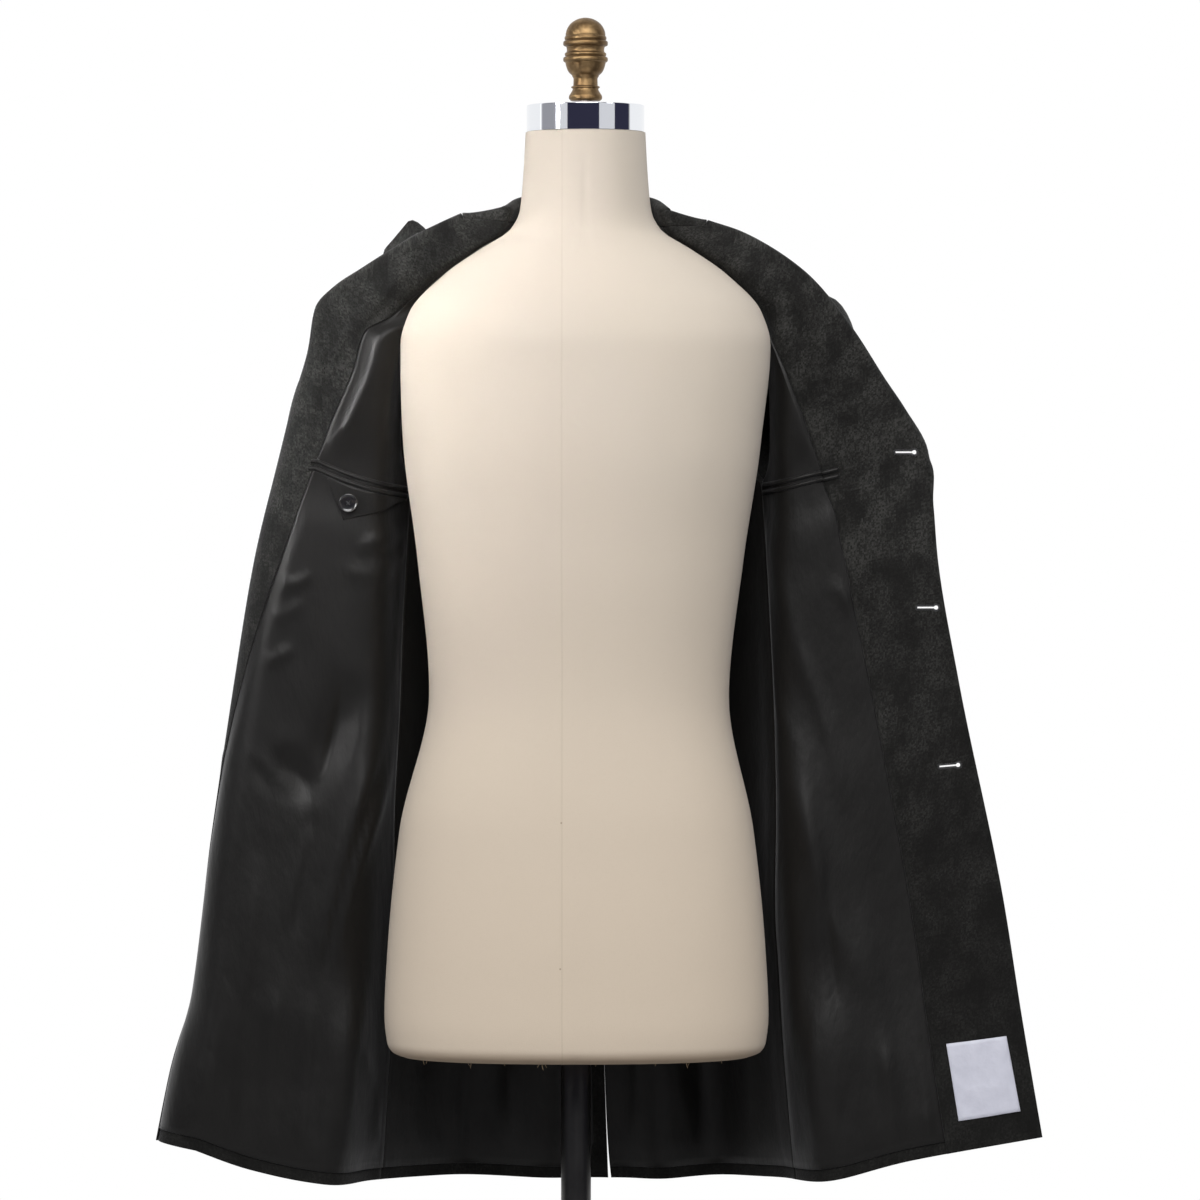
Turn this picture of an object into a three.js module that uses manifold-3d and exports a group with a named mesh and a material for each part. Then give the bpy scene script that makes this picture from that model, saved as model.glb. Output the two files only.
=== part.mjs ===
// A wool overcoat, held open, on a limbless dress form with a round stand.
// Millimetres, +Z up. The origin is on the floor under the stand's pole. The
// coat's opened inside faces -Y, and "left" and "right" are as seen from there.
//
// The coat is one bent sheet with layers on it. From the centre back the sheet
// wraps the form, opens into two wings, and rolls back along the lapel and the
// front edge. Wool lies on its outer side; lining and facing lie on its inner.
import * as THREE from 'three';
import { mergeVertices } from 'three/addons/utils/BufferGeometryUtils.js';
import Module from 'manifold-3d';

const wasm = await Module();
wasm.setup();

// ---------------------------------------------------------------- driving sizes
const seamGap = 0.3;
const woolThick = 1.9;
const liningThick = 1.0;
const neckHeight = 1420;
const backLength = 970;
const backSeamAtNeck = 9.5;
const backSeamDrift = 23;
const formTop = 1514.7;
const formBottom = 592;
const poleRadius = 15;
const baseRadius = 215;
const baseHeight = 30;
const armholeTop = 0.125;
const armholeBottom = 0.3;
const armholeHalfWidth = 31;
const hemShow = 12;
const ventTop = 0.72;
const ventOpening = 3;
const ventSpread = 9;
const rowCount = 21;
const backCells = 7;
const liningCells = 6;
const facingCells = 3;
const rollCells = 4;
const turnedCells = 3;
const sides = { left: -1, right: 1 };

// ---------------------------------------------------------------- materials
const finish = (color, roughness, metalness = 0) =>
  new THREE.MeshStandardMaterial({ color, roughness, metalness });
const wool = finish(0x1f1f1e, 0.9);
const satinLining = finish(0x2b2b2e, 0.45);
const canvas = finish(0xd8ccb9, 0.85);
const chrome = finish(0xd5d9de, 0.12, 1);
const brass = finish(0x8a6a3c, 0.4, 1);
const darkMetal = finish(0x242424, 0.35, 0.8);
const horn = finish(0x17171a, 0.25);
const labelSatin = finish(0xe9eaf0, 0.5);

// ---------------------------------------------------------------- small maths
const lerp = (a, b, t) => a + (b - a) * t;
const clamp = (value, low, high) => Math.min(high, Math.max(low, value));
const smoothMax = (a, b, soft) => (a + b + Math.hypot(a - b, soft)) / 2;

/** A table with named columns, read smoothly by its first column. */
function table(columns, rows) {
  const keys = rows.map((row) => row[0]);
  const last = rows.length - 1;
  const chord = (column, i) => (rows[i + 1][column] - rows[i][column]) / (keys[i + 1] - keys[i]);
  const slope = (column, i) => {
    if (i === 0 || i === last) return chord(column, Math.min(i, last - 1));
    const before = chord(column, i - 1);
    const after = chord(column, i);
    return before * after <= 0 ? 0 : (2 * before * after) / (before + after);
  };
  return (name, key) => {
    const column = columns.indexOf(name);
    const place = clamp(key, keys[0], keys[last]);
    let i = 0;
    while (i < last - 1 && place > keys[i + 1]) i += 1;
    const span = keys[i + 1] - keys[i];
    const t = (place - keys[i]) / span;
    const rise = rows[i + 1][column] - rows[i][column];
    const start = slope(column, i) * span;
    const end = slope(column, i + 1) * span;
    return rows[i][column] + t * (start + t * (3 * rise - 2 * start - end + t * (start + end - 2 * rise)));
  };
}

/** Depth of a rounded section at a share of its half width, carried on steeply past its side. */
function roundedDepth(share, square) {
  const side = 0.97;
  const inside = Math.min(share, side);
  const rest = 1 - inside ** square;
  const steep = inside ** (square - 1) * rest ** (1 / square - 1);
  return rest ** (1 / square) - steep * (share - inside);
}

// ---------------------------------------------------------------- shape tables
// The form's level sections: half width, half depth, squareness, and its centre.
const form = table(['height', 'half', 'deep', 'square', 'centre', 'middle'], [
  [592, 174, 102, 2.3, 0, 0],
  [596, 184, 111, 2.3, 0.5, 0],
  [604, 189, 115, 2.3, 0.5, 0],
  [632, 192, 117, 2.3, 0.5, 0],
  [690, 189.5, 117, 2.3, 0.5, 0],
  [817, 177, 112, 2.3, 0.5, 0],
  [952, 150, 103, 2.2, 3, 2],
  [1087, 163, 113, 2.2, 4.5, 0],
  [1205, 179, 122, 2.3, 6, 0],
  [1302, 185, 118, 2.3, 9.5, 0],
  [1335, 176, 110, 2.3, 9.5, 2],
  [1373, 141, 93, 2.2, 9.5, 5],
  [1399, 104, 77, 2.1, 9.5, 7],
  [1417, 76, 67, 2, 9.5, 8],
  [1436, 66, 63, 2, 9.5, 8],
  [1477, 62, 60, 2, 9.5, 8],
  [1514.7, 60, 59, 2, 9.5, 8],
]);

// The coat's own body round the form: where it wraps, and how far back the wings lie.
const wrap = table(['height', 'half', 'deep', 'square', 'middle', 'wing', 'soft'], [
  [450, 226, 166, 2.6, 0, 4, 60],
  [632, 212, 154, 2.5, 0, 12, 52],
  [800, 203, 146, 2.4, 0, 20, 44],
  [950, 200, 143, 2.3, 0, 26, 36],
  [1150, 199, 140, 2.3, 0, 26, 26],
  [1250, 197, 134, 2.3, 0, 22, 24],
  [1302, 190.5, 123.5, 2.3, 0, 18, 22],
  [1335, 182, 116, 2.3, 2, 14, 32],
  [1373, 146.5, 98.5, 2.2, 5, 9, 16],
  [1399, 109, 82, 2.1, 7, 5, 8],
  [1417, 80, 71, 2, 8, 2, 6],
  [1436, 72, 68, 2, 8, 0, 6],
  [1460, 70, 66, 2, 8, -1, 6],
]);

// Each wing's outline from the collar to the hem. "down" is the share of the
// outline. The roll is the radius at which the edge turns back, "turned" is the
// cloth past that bend's start, "seam" is where the facing starts, from it, and
// "standing" is how many degrees short of flat the turned cloth stays.
const wingColumns = ['down', 'out', 'height', 'roll', 'turned', 'seam', 'standing'];
const wings = {
  right: table(wingColumns, [
    [0, 131, 1425, 4, 54, -50, 0],
    [0.036, 166, 1413, 4, 90, -62, 0],
    [0.107, 227, 1375, 4.5, 76, -72, 0],
    [0.169, 273, 1322, 5, 62, -74, 0],
    [0.234, 309, 1267, 7, 46, -82, 0],
    [0.275, 330, 1236, 9, 34, -90, 0],
    [0.315, 352, 1196, 10, 20, -98, 0],
    [0.37, 359, 1141, 11, 0, -98, 0],
    [0.419, 363, 1091, 12, 0, -92, 0],
    [0.543, 384, 967, 14, 0, -88, 0],
    [0.76, 428, 750, 14, 0, -93, 0],
    [0.882, 447, 628, 14, 0, -95, 0],
    [1, 467, 509, 14, 0, -97, 0],
  ]),
  left: table(wingColumns, [
    [0, -114, 1432, 4, 54, -50, 0],
    [0.023, -136, 1422, 4, 72, -56, 0],
    [0.05, -160, 1410, 4, 56, -60, 84],
    [0.08, -187, 1394, 5, 50, -62, 80],
    [0.111, -214, 1377, 5, 54, -62, 20],
    [0.143, -241, 1359, 7, 51, -59, 0],
    [0.171, -260, 1338, 10, 56, -44, 0],
    [0.214, -268, 1295, 16, 70, -32, 0],
    [0.267, -284, 1243, 26, 82, -16, 0],
    [0.302, -293, 1208, 34, 94, -4, 0],
    [0.423, -323, 1087, 38, 98, 13, 0],
    [0.543, -343, 966, 38, 118, 34, 0],
    [0.71, -368, 796, 38, 142, 60, 0],
    [0.856, -386, 647, 38, 148, 66, 0],
    [0.936, -406, 567, 38, 144, 62, 0],
    [1, -419, 503, 38, 140, 58, 0],
  ]),
};

// How the hem rises across each half, from the centre back to the wing's edge.
const hemRise = {
  left: table(['across', 'rise'], [
    [0, 0],
    [0.52, 0.1],
    [0.72, 0.29],
    [0.86, 0.53],
    [1, 1],
  ]),
  right: table(['across', 'rise'], [
    [0, 0],
    [0.24, 0.04],
    [0.48, 0.22],
    [0.7, 0.6],
    [1, 1],
  ]),
};

// Cloth from the centre back to the shoulder seam, the armhole and the side seam.
const sideSeam = table(['down', 'cloth'], [
  [0, 100],
  [0.06, 150],
  [0.13, 200],
  [0.2, 186],
  [0.3, 200],
  [0.5, 220],
  [1, 262],
]);

// The largest folds. Each runs from its top to its foot and stands proud of the
// sheet's inner side by "proud", or sinks where that is negative.
const foldColumns = ['topX', 'topZ', 'footX', 'footZ', 'half', 'proud'];
const folds = [
  [-172, 1040, -258, 650, 26, 9],
  [-222, 980, -258, 850, 18, -9],
  [-304, 900, -252, 838, 14, -7],
  [-205, 700, -236, 452, 34, 12],
  [-300, 640, -330, 452, 34, -10],
  [-90, 900, -120, 440, 40, -16],
  [-20, 900, -30, 440, 34, 14],
  [205, 980, 250, 640, 26, 8],
  [230, 700, 262, 452, 36, 11],
  [300, 900, 345, 500, 34, -7],
  [120, 900, 150, 440, 34, -24],
  [70, 900, 85, 440, 28, 18],
].map((row) => Object.fromEntries(foldColumns.map((name, i) => [name, row[i]])));

function foldRelief(x, z) {
  let proud = 0;
  for (const fold of folds) {
    const alongX = fold.footX - fold.topX;
    const alongZ = fold.footZ - fold.topZ;
    const length = Math.hypot(alongX, alongZ);
    const along = ((x - fold.topX) * alongX + (z - fold.topZ) * alongZ) / length ** 2;
    const aside = ((x - fold.topX) * alongZ - (z - fold.topZ) * alongX) / length;
    const fade = clamp(along * 2.2, 0, 1) * (fold.footZ < 460 ? 1 : clamp((1 - along) * 2.2, 0, 1));
    proud += fold.proud * fade * fade * (3 - 2 * fade) * Math.exp(-((aside / fold.half) ** 2));
  }
  return proud;
}

// ---------------------------------------------------------------- the coat's sheet
/** How far back the sheet lies at a place in the front view. */
function sheetDepth(x, z) {
  const share = Math.abs(x - form('centre', z)) / wrap('half', z);
  const back = wrap('middle', z) + wrap('deep', z) * roundedDepth(share, wrap('square', z));
  return smoothMax(back, wrap('wing', z), wrap('soft', z)) - foldRelief(x, z);
}

const onSheet = (x, z) => new THREE.Vector3(x, sheetDepth(x, z), z);

function sheetNormal(x, z) {
  const step = 1;
  const slopeX = (sheetDepth(x + step, z) - sheetDepth(x - step, z)) / (2 * step);
  const slopeZ = (sheetDepth(x, z + step) - sheetDepth(x, z - step)) / (2 * step);
  return new THREE.Vector3(-slopeX, 1, -slopeZ).normalize();
}

/** Joins points into a path that can be read by the length of cloth along it. */
function clothPath(points) {
  const lengths = [0];
  for (let i = 1; i < points.length; i += 1) {
    lengths.push(lengths[i - 1] + points[i].distanceTo(points[i - 1]));
  }
  const at = (cloth) => {
    let i = 0;
    while (i < points.length - 2 && lengths[i + 1] < cloth) i += 1;
    const t = (cloth - lengths[i]) / (lengths[i + 1] - lengths[i]);
    return points[i].clone().lerp(points[i + 1], t);
  };
  return { at, length: lengths[lengths.length - 1] };
}

/**
 * Rolls cloth back from a place on the sheet and lays it behind, over a length of cloth.
 * "standing" is the angle at which it stands off the sheet where it isn't pressed flat.
 */
function turnBack(points, place, inward, roll, turned, standing = 0) {
  const start = onSheet(place.x, place.z);
  const normal = sheetNormal(place.x, place.z);
  const outward = start.clone().sub(onSheet(place.x + inward.x, place.z + inward.z)).normalize();
  const hinge = new THREE.Vector3().crossVectors(outward, normal).normalize();
  const stand = THREE.MathUtils.degToRad(standing);
  const flatEnd = start.clone().addScaledVector(normal, 2 * roll);
  const rollEnd = start.clone()
    .addScaledVector(outward, roll * Math.sin(stand))
    .addScaledVector(normal, roll * (1 + Math.cos(stand)));
  const rollSteps = 12;
  const layStep = 2;
  let used = 0;
  let from = start;
  const add = (next) => {
    const rest = turned - used;
    const length = next.distanceTo(from);
    const point = length > rest ? from.clone().lerp(next, rest / length) : next;
    used += Math.min(length, rest);
    from = point;
    points.push(point);
  };
  for (let i = 1; i <= rollSteps && used < turned - 1e-6; i += 1) {
    const angle = ((Math.PI - stand) * i) / rollSteps;
    add(start.clone()
      .addScaledVector(outward, roll * Math.sin(angle))
      .addScaledVector(normal, roll * (1 - Math.cos(angle))));
  }
  for (let away = layStep; used < turned - 1e-6; away += layStep) {
    const x = place.x + inward.x * away;
    const z = place.z + inward.z * away;
    const laid = onSheet(x, z).addScaledVector(sheetNormal(x, z), 2 * roll);
    add(laid.sub(flatEnd).applyAxisAngle(hinge, -stand).add(rollEnd));
  }
}

/** The wing's outline at a share of its length, with the direction in across the cloth. */
function wingEdge(side, down) {
  const step = 0.004;
  const wing = wings[side];
  const low = clamp(down - step, 0, 1);
  const high = clamp(down + step, 0, 1);
  const alongX = wing('out', high) - wing('out', low);
  const alongZ = wing('height', high) - wing('height', low);
  const length = Math.hypot(alongX, alongZ) * sides[side];
  const inward = { x: alongZ / length, z: -alongX / length };
  const roll = wing('roll', down);
  const turned = wing('turned', down);
  const standing = wing('standing', down);
  const inset = roll * clamp(turned / (roll * 1.6), 0, 1);
  const place = {
    x: wing('out', down) + inward.x * inset,
    z: wing('height', down) + inward.z * inset,
  };
  return { place, inward, roll, turned, standing };
}

const backSeam = (down) => ({
  x: backSeamAtNeck + backSeamDrift * down ** 1.5,
  z: neckHeight - backLength * down,
});

/** One row of cloth from the centre back, round the form, out to the edge and back. */
function clothRow(side, down) {
  const { place, inward, roll, turned, standing } = wingEdge(side, down);
  const seam = backSeam(down);
  const sheetSteps = 90;
  const points = [];
  for (let i = 0; i <= sheetSteps; i += 1) {
    const t = i / sheetSteps;
    const rise = lerp(t, hemRise[side]('rise', t), down);
    points.push(onSheet(lerp(seam.x, place.x, t), lerp(seam.z, place.z, rise)));
  }
  const flat = clothPath(points).length;
  if (turned > 0) turnBack(points, place, inward, roll, turned, standing);
  return { path: clothPath(points), flat, roll };
}

/** Where each column of the cloth grid lies in a row, by length of cloth. */
function columnPlaces(side, down, row) {
  const edge = row.path.length;
  const facingStart = row.flat + wings[side]('seam', down);
  const along = (down - (armholeTop + armholeBottom) / 2) / ((armholeBottom - armholeTop) / 2);
  const armhole = armholeHalfWidth * Math.sqrt(Math.max(0, 1 - along ** 2));
  const seam = Math.min(sideSeam('cloth', down), facingStart - 14 - armhole);
  const rollStart = clamp(row.flat, facingStart + 10, edge - 30);
  const rollEnd = clamp(row.flat + Math.PI * row.roll, rollStart + 12, edge - 10);
  const places = [];
  const run = (from, to, cells, skipFirst) => {
    for (let i = skipFirst ? 1 : 0; i <= cells; i += 1) places.push(lerp(from, to, i / cells));
  };
  const open = clamp((down - ventTop) / (1 - ventTop), 0, 1) ** ventSpread;
  const vent = side === 'right' ? ventOpening * open : 0;
  run(seamGap / 2 + vent, seam - armhole - seamGap / 2, backCells, false);
  run(seam + armhole + seamGap / 2, facingStart - seamGap / 2, liningCells, false);
  run(facingStart + seamGap / 2, rollStart, facingCells, false);
  run(rollStart, rollEnd, rollCells, true);
  run(rollEnd, edge, turnedCells, true);
  return places;
}

// Columns of the grid where each panel starts and ends.
const sideBackColumn = backCells;
const sideFrontColumn = sideBackColumn + 1;
const liningEndColumn = sideFrontColumn + liningCells;
const facingStartColumn = liningEndColumn + 1;
const edgeColumn = facingStartColumn + facingCells + rollCells + turnedCells;

/** Normals of a grid of points, on the side that a direction at one of them picks. */
function gridNormals(points, { row: seenRow, column: seenColumn, facing }) {
  const rows = points.length - 1;
  const columns = points[0].length - 1;
  const normals = points.map((row, r) => row.map((_, c) => {
    const across = row[Math.min(c + 1, columns)].clone().sub(row[Math.max(c - 1, 0)]);
    const down = points[Math.min(r + 1, rows)][c].clone().sub(points[Math.max(r - 1, 0)][c]);
    return across.cross(down).normalize();
  }));
  const sign = Math.sign(normals[seenRow][seenColumn].dot(facing));
  for (const normal of normals.flat()) normal.multiplyScalar(sign);
  return normals;
}

const backward = new THREE.Vector3(0, 1, 0);

/** How far down each row lies: closer together at the top, the last at the hem. */
function rowDown(r) {
  const liningEnd = 1 - hemShow / backLength;
  const share = r / (rowCount - 1);
  const spread = liningEnd * lerp(share, share ** 2, 0.55);
  return r === rowCount ? 1 : Math.max(spread, seamGap / backLength);
}

/** The grid of points on one half of the sheet, rows down and columns across. */
function halfSheet(side) {
  const points = [];
  const places = [];
  for (let r = 0; r <= rowCount; r += 1) {
    const down = rowDown(r);
    const row = clothRow(side, down);
    places.push(columnPlaces(side, down, row));
    points.push(places[r].map((place) => row.path.at(place)));
  }
  const normals = gridNormals(points, { row: rowCount, column: 0, facing: backward });
  const shifts = [];
  for (const [r, row] of normals.entries()) {
    row[0].setX(0).normalize();
    if (r === 0) row.slice(0, facingStartColumn + facingCells).forEach((normal) => normal.setZ(0).normalize());
    for (const c of [sideBackColumn, liningEndColumn]) {
      const across = points[r][c + 1].clone().sub(points[r][c]);
      if (across.length() > 2 * seamGap) continue;
      row[c].add(row[c + 1]).normalize();
      row[c + 1].copy(row[c]);
      // Where the seam runs aslant, the pieces move apart to keep the gap across it.
      const above = points[Math.max(r - 1, 0)][c];
      const below = points[Math.min(r + 1, rowCount)][c];
      const along = below.clone().sub(above).normalize();
      const slant = across.clone().normalize().cross(along).length();
      const spread = 1.2 * (1 / Math.max(slant, 0.25) - 1);
      shifts.push([points[r][c], across.clone().multiplyScalar(-spread)]);
      shifts.push([points[r][c + 1], across.clone().multiplyScalar(spread)]);
    }
  }
  for (const [point, shift] of shifts) point.add(shift);
  return { points, normals, places };
}

const sheet = { left: halfSheet('left'), right: halfSheet('right') };

// ---------------------------------------------------------------- solids
/** A closed solid from triangles, turned so that its faces point out. */
function solid(positions, triangles) {
  let volume = 0;
  for (const [a, b, c] of triangles) {
    volume += positions[a].dot(positions[b].clone().cross(positions[c]));
  }
  const flat = [];
  for (const [a, b, c] of triangles) {
    const order = volume > 0 ? [a, b, c] : [a, c, b];
    for (const i of order) flat.push(...positions[i].toArray());
  }
  const geometry = new THREE.BufferGeometry();
  geometry.setAttribute('position', new THREE.Float32BufferAttribute(flat, 3));
  return geometry;
}

/** A wall between two grids of points, closed round its four edges. */
function wallBetween(front, back) {
  const rows = front.length;
  const columns = front[0].length;
  const positions = [...front.flat(), ...back.flat()];
  const far = rows * columns;
  const at = (r, c) => r * columns + c;
  const triangles = [];
  const quad = (a, b, c, d) => triangles.push([a, b, c], [a, c, d]);
  for (let r = 0; r < rows - 1; r += 1) {
    for (let c = 0; c < columns - 1; c += 1) {
      const corners = [at(r, c), at(r, c + 1), at(r + 1, c + 1), at(r + 1, c)];
      quad(...corners);
      const [p, q, s, t] = corners.map((i) => i + far);
      triangles.push([p, s, q], [p, t, s]);
    }
  }
  const rim = [];
  for (let c = 0; c < columns - 1; c += 1) rim.push(at(0, c));
  for (let r = 0; r < rows - 1; r += 1) rim.push(at(r, columns - 1));
  for (let c = columns - 1; c > 0; c -= 1) rim.push(at(rows - 1, c));
  for (let r = rows - 1; r > 0; r -= 1) rim.push(at(r, 0));
  rim.forEach((a, i) => {
    const b = rim[(i + 1) % rim.length];
    quad(a, a + far, b + far, b);
  });
  return solid(positions, triangles);
}

/** A panel of cloth: the columns of a grid it takes, between two distances from the sheet. */
function panel(grid, columns, [near, far], lastRow = grid.points.length - 1) {
  const offset = (distance) => grid.points.slice(0, lastRow + 1).map((row, r) =>
    columns.map((c) => row[c].clone().addScaledVector(grid.normals[r][c], distance)));
  return wallBetween(offset(near), offset(far));
}

/** A turned solid about a vertical axis, from its profile of radius and height. */
function turnedSolid(profile, segments) {
  const points = profile.map(([radius, height]) => new THREE.Vector2(radius, height));
  return mergeVertices(new THREE.LatheGeometry(points, segments).rotateX(Math.PI / 2));
}

/** A closed solid through level rings of points, capped flat at both ends. */
function loftedSolid(rings) {
  const around = rings[0].length;
  const positions = rings.flat();
  const triangles = [];
  for (let r = 0; r < rings.length - 1; r += 1) {
    for (let i = 0; i < around; i += 1) {
      const a = r * around + i;
      const b = r * around + ((i + 1) % around);
      triangles.push([a, b, b + around], [a, b + around, a + around]);
    }
  }
  for (const [ring, start] of [[rings[0], 0], [rings.at(-1), (rings.length - 1) * around]]) {
    const centre = positions.length;
    positions.push(ring.reduce((sum, point) => sum.add(point), new THREE.Vector3()).divideScalar(around));
    for (let i = 0; i < around; i += 1) {
      const edge = [start + i, start + ((i + 1) % around)];
      triangles.push(start === 0 ? [centre, edge[1], edge[0]] : [centre, edge[0], edge[1]]);
    }
  }
  return solid(positions, triangles);
}

const range = (from, to) => Array.from({ length: to - from + 1 }, (_, i) => from + i);

const overcoat = new THREE.Group();
const dressForm = new THREE.Group();

function addPiece(group, name, geometry, material) {
  const mesh = new THREE.Mesh(geometry, material);
  mesh.name = name;
  group.add(mesh);
  return mesh;
}

// ---------------------------------------------------------------- panels
const layerGap = 0.2;
const outerWool = [layerGap, layerGap + woolThick];
const innerWool = [-layerGap, -layerGap - woolThick];
const innerLining = [-layerGap, -layerGap - liningThick];
const frontColumns = range(sideFrontColumn, edgeColumn).filter((c) => c !== facingStartColumn);
const backColumns = range(0, sideBackColumn);
const liningColumns = range(sideFrontColumn, liningEndColumn);
const facingColumns = range(facingStartColumn, edgeColumn);

for (const side of Object.keys(sides)) {
  const grid = sheet[side];
  addPiece(overcoat, `back_${side}`, panel(grid, backColumns, outerWool), wool);
  addPiece(overcoat, `lining_back_${side}`, panel(grid, backColumns, innerLining, rowCount - 1), satinLining);
  addPiece(overcoat, `lining_front_${side}`, panel(grid, liningColumns, innerLining, rowCount - 1), satinLining);
}
addPiece(overcoat, 'front_left', panel(sheet.left, frontColumns, outerWool), wool);
addPiece(overcoat, 'facing_left', panel(sheet.left, facingColumns, innerWool), wool);

// ---------------------------------------------------------------- buttonholes
const keyhole = { length: 21, slot: 1.3, eye: 2.7, reach: 7 };
const buttonholes = [
  { x: 342, z: 1195, tilt: 0 },
  { x: 364, z: 1039, tilt: 0 },
  { x: 386, z: 881, tilt: 5 },
];

function manifoldOf(geometry) {
  const bare = geometry.clone();
  bare.deleteAttribute('normal');
  bare.deleteAttribute('uv');
  const merged = mergeVertices(bare, 1e-3);
  return new wasm.Manifold(new wasm.Mesh({
    numProp: 3,
    vertProperties: merged.attributes.position.array,
    triVerts: Uint32Array.from(merged.index.array),
  }));
}

function geometryOf(manifold) {
  const { numProp, vertProperties, triVerts } = manifold.getMesh();
  const positions = [];
  for (let i = 0; i < vertProperties.length; i += numProp) {
    positions.push(vertProperties[i], vertProperties[i + 1], vertProperties[i + 2]);
  }
  const geometry = new THREE.BufferGeometry();
  geometry.setAttribute('position', new THREE.Float32BufferAttribute(positions, 3));
  geometry.setIndex([...triVerts]);
  return geometry;
}

/** A keyhole-shaped cutter: a slot that ends in a round eye near the edge. */
function keyholeCutter({ x, z, tilt }) {
  const { length, slot, eye, reach } = keyhole;
  const neck = Math.acos(slot / eye);
  const outline = new THREE.Shape();
  outline.moveTo(-length, -slot);
  outline.absarc(0, 0, eye, -Math.PI / 2 - neck, Math.PI / 2 + neck, false);
  outline.lineTo(-length, slot);
  outline.closePath();
  const cutter = new THREE.ExtrudeGeometry(outline, { depth: 2 * reach, bevelEnabled: false, curveSegments: 5 });
  return cutter
    .rotateZ(THREE.MathUtils.degToRad(tilt))
    .translate(0, 0, -reach)
    .rotateX(Math.PI / 2)
    .translate(x - eye, sheetDepth(x, z), z);
}

const cutters = buttonholes.map((hole) => manifoldOf(keyholeCutter(hole)));
const withButtonholes = (geometry) =>
  geometryOf(cutters.reduce((cut, cutter) => cut.subtract(cutter), manifoldOf(geometry)));
addPiece(overcoat, 'front_right', withButtonholes(panel(sheet.right, frontColumns, outerWool)), wool);
addPiece(overcoat, 'facing_right', withButtonholes(panel(sheet.right, facingColumns, innerWool)), wool);

// ---------------------------------------------------------------- collar
const collarCells = 9;
const collarFold = table(['share', 'height', 'lean', 'leaf'], [
  [0, 1449, 0, 66],
  [0.35, 1448, 2, 66],
  [0.62, 1443, 5, 70],
  [0.9, 1432, 2, 88],
  [1, 1426, 0, 62],
]);
const collarRoll = 4;

/** A strip of collar cloth: up the stand, over the fold and down the leaf. */
function collarStrip(side, share) {
  const neckline = clothRow(side, 0);
  const seam = neckline.path.at(neckline.flat * share - 2 * seamGap * share);
  seam.z += 2 * seamGap;
  const end = wingEdge(side, 0);
  const top = lerp(collarFold('height', share), end.place.z, share ** 4);
  const place = { x: seam.x - sides[side] * collarFold('lean', share), z: Math.max(top, seam.z) };
  const aim = new THREE.Vector2(end.inward.x * share ** 2, lerp(-1, end.inward.z, share ** 2)).normalize();
  const inward = { x: aim.x, z: aim.y };
  const points = [];
  const standSteps = 6;
  for (let i = 0; i <= standSteps; i += 1) {
    const t = i / standSteps;
    points.push(onSheet(lerp(seam.x, place.x, t), lerp(seam.z + 1e-3, place.z + 1e-2, t)));
  }
  const stand = Math.max(clothPath(points).length, 1.5);
  turnBack(points, place, inward, collarRoll, collarFold('leaf', share));
  const path = clothPath(points);
  const knots = [0, stand, stand + Math.PI * collarRoll, path.length];
  const cells = [1, 4, 3];
  const places = [0];
  cells.forEach((count, part) => {
    for (let i = 1; i <= count; i += 1) places.push(lerp(knots[part], knots[part + 1], i / count));
  });
  return places.map((along) => path.at(along));
}

const shares = range(1, collarCells).map((i) => i / collarCells);
const collarPoints = [
  ...shares.map((share) => collarStrip('left', share)).reverse(),
  collarStrip('right', 0),
  ...shares.map((share) => collarStrip('right', share)),
];
const collarGrid = {
  points: collarPoints,
  normals: gridNormals(collarPoints, { row: collarCells, column: 0, facing: backward }),
};
for (const row of collarGrid.normals) row[0].setZ(0).normalize();
const collarColumns = range(0, collarPoints[0].length - 1);
addPiece(overcoat, 'collar_under', panel(collarGrid, collarColumns, outerWool), wool);
addPiece(overcoat, 'collar_top', panel(collarGrid, collarColumns, innerWool), wool);

// ---------------------------------------------------------------- sleeves
// Sections of a sleeve from the armhole to the cuff: the middle, the tilt of the
// section from level, its swing in plan, and its half sizes up and to the front.
const sleeveColumns = ['out', 'back', 'height', 'tilt', 'swing', 'up', 'front'];
const sleeveSections = [
  [196, 92, 1247, 82, 38, 94, 40],
  [212, 104, 1260, 68, 32, 100, 52],
  [236, 112, 1246, 45, 24, 60, 60],
  [250, 118, 1205, 18, 18, 50, 68],
  [252, 122, 1145, 4, 14, 46, 71],
  [251, 124, 1080, 0, 12, 44, 70],
  [249, 123, 1010, 0, 11, 42, 68],
  [247, 120, 930, 0, 10, 39, 66],
  [244, 114, 850, 0, 9, 36, 63],
  [241, 106, 780, 0, 8, 34, 61],
  [239, 98, 722, 0, 8, 33, 60],
].map((row) => Object.fromEntries(sleeveColumns.map((name, i) => [name, row[i]])));
const sleeveSetBack = { left: 36, right: 6 };
const sleeveLift = outerWool[1] + 0.8;
const sleeveStart = 9;

/** A point on a sleeve's ring; the angle runs from the top over the front. */
function sleevePoint(side, section, number, angle) {
  const tilt = THREE.MathUtils.degToRad(section.tilt);
  const swing = THREE.MathUtils.degToRad(section.swing);
  const up = section.up * Math.cos(angle);
  const front = section.front * Math.sin(angle);
  const settled = clamp(number / 3, 0, 1);
  const out = section.out + up * Math.cos(tilt) * Math.cos(swing) + front * Math.sin(swing);
  const back = section.back + sleeveSetBack[side] * settled
    + up * Math.cos(tilt) * Math.sin(swing) - front * Math.cos(swing);
  const centre = lerp(form('centre', neckHeight - 100), form('centre', section.height), settled);
  const x = centre + sides[side] * out;
  const z = section.height + up * Math.sin(tilt);
  return new THREE.Vector3(x, Math.max(back, clearDepth(x, z, lerp(6, 14, settled))), z);
}

/** How far back a place must lie to stay a distance off the sheet. */
const clearDepth = (x, z, distance) => sheetDepth(x, z) + distance / Math.max(sheetNormal(x, z).y, 0.3);

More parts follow.
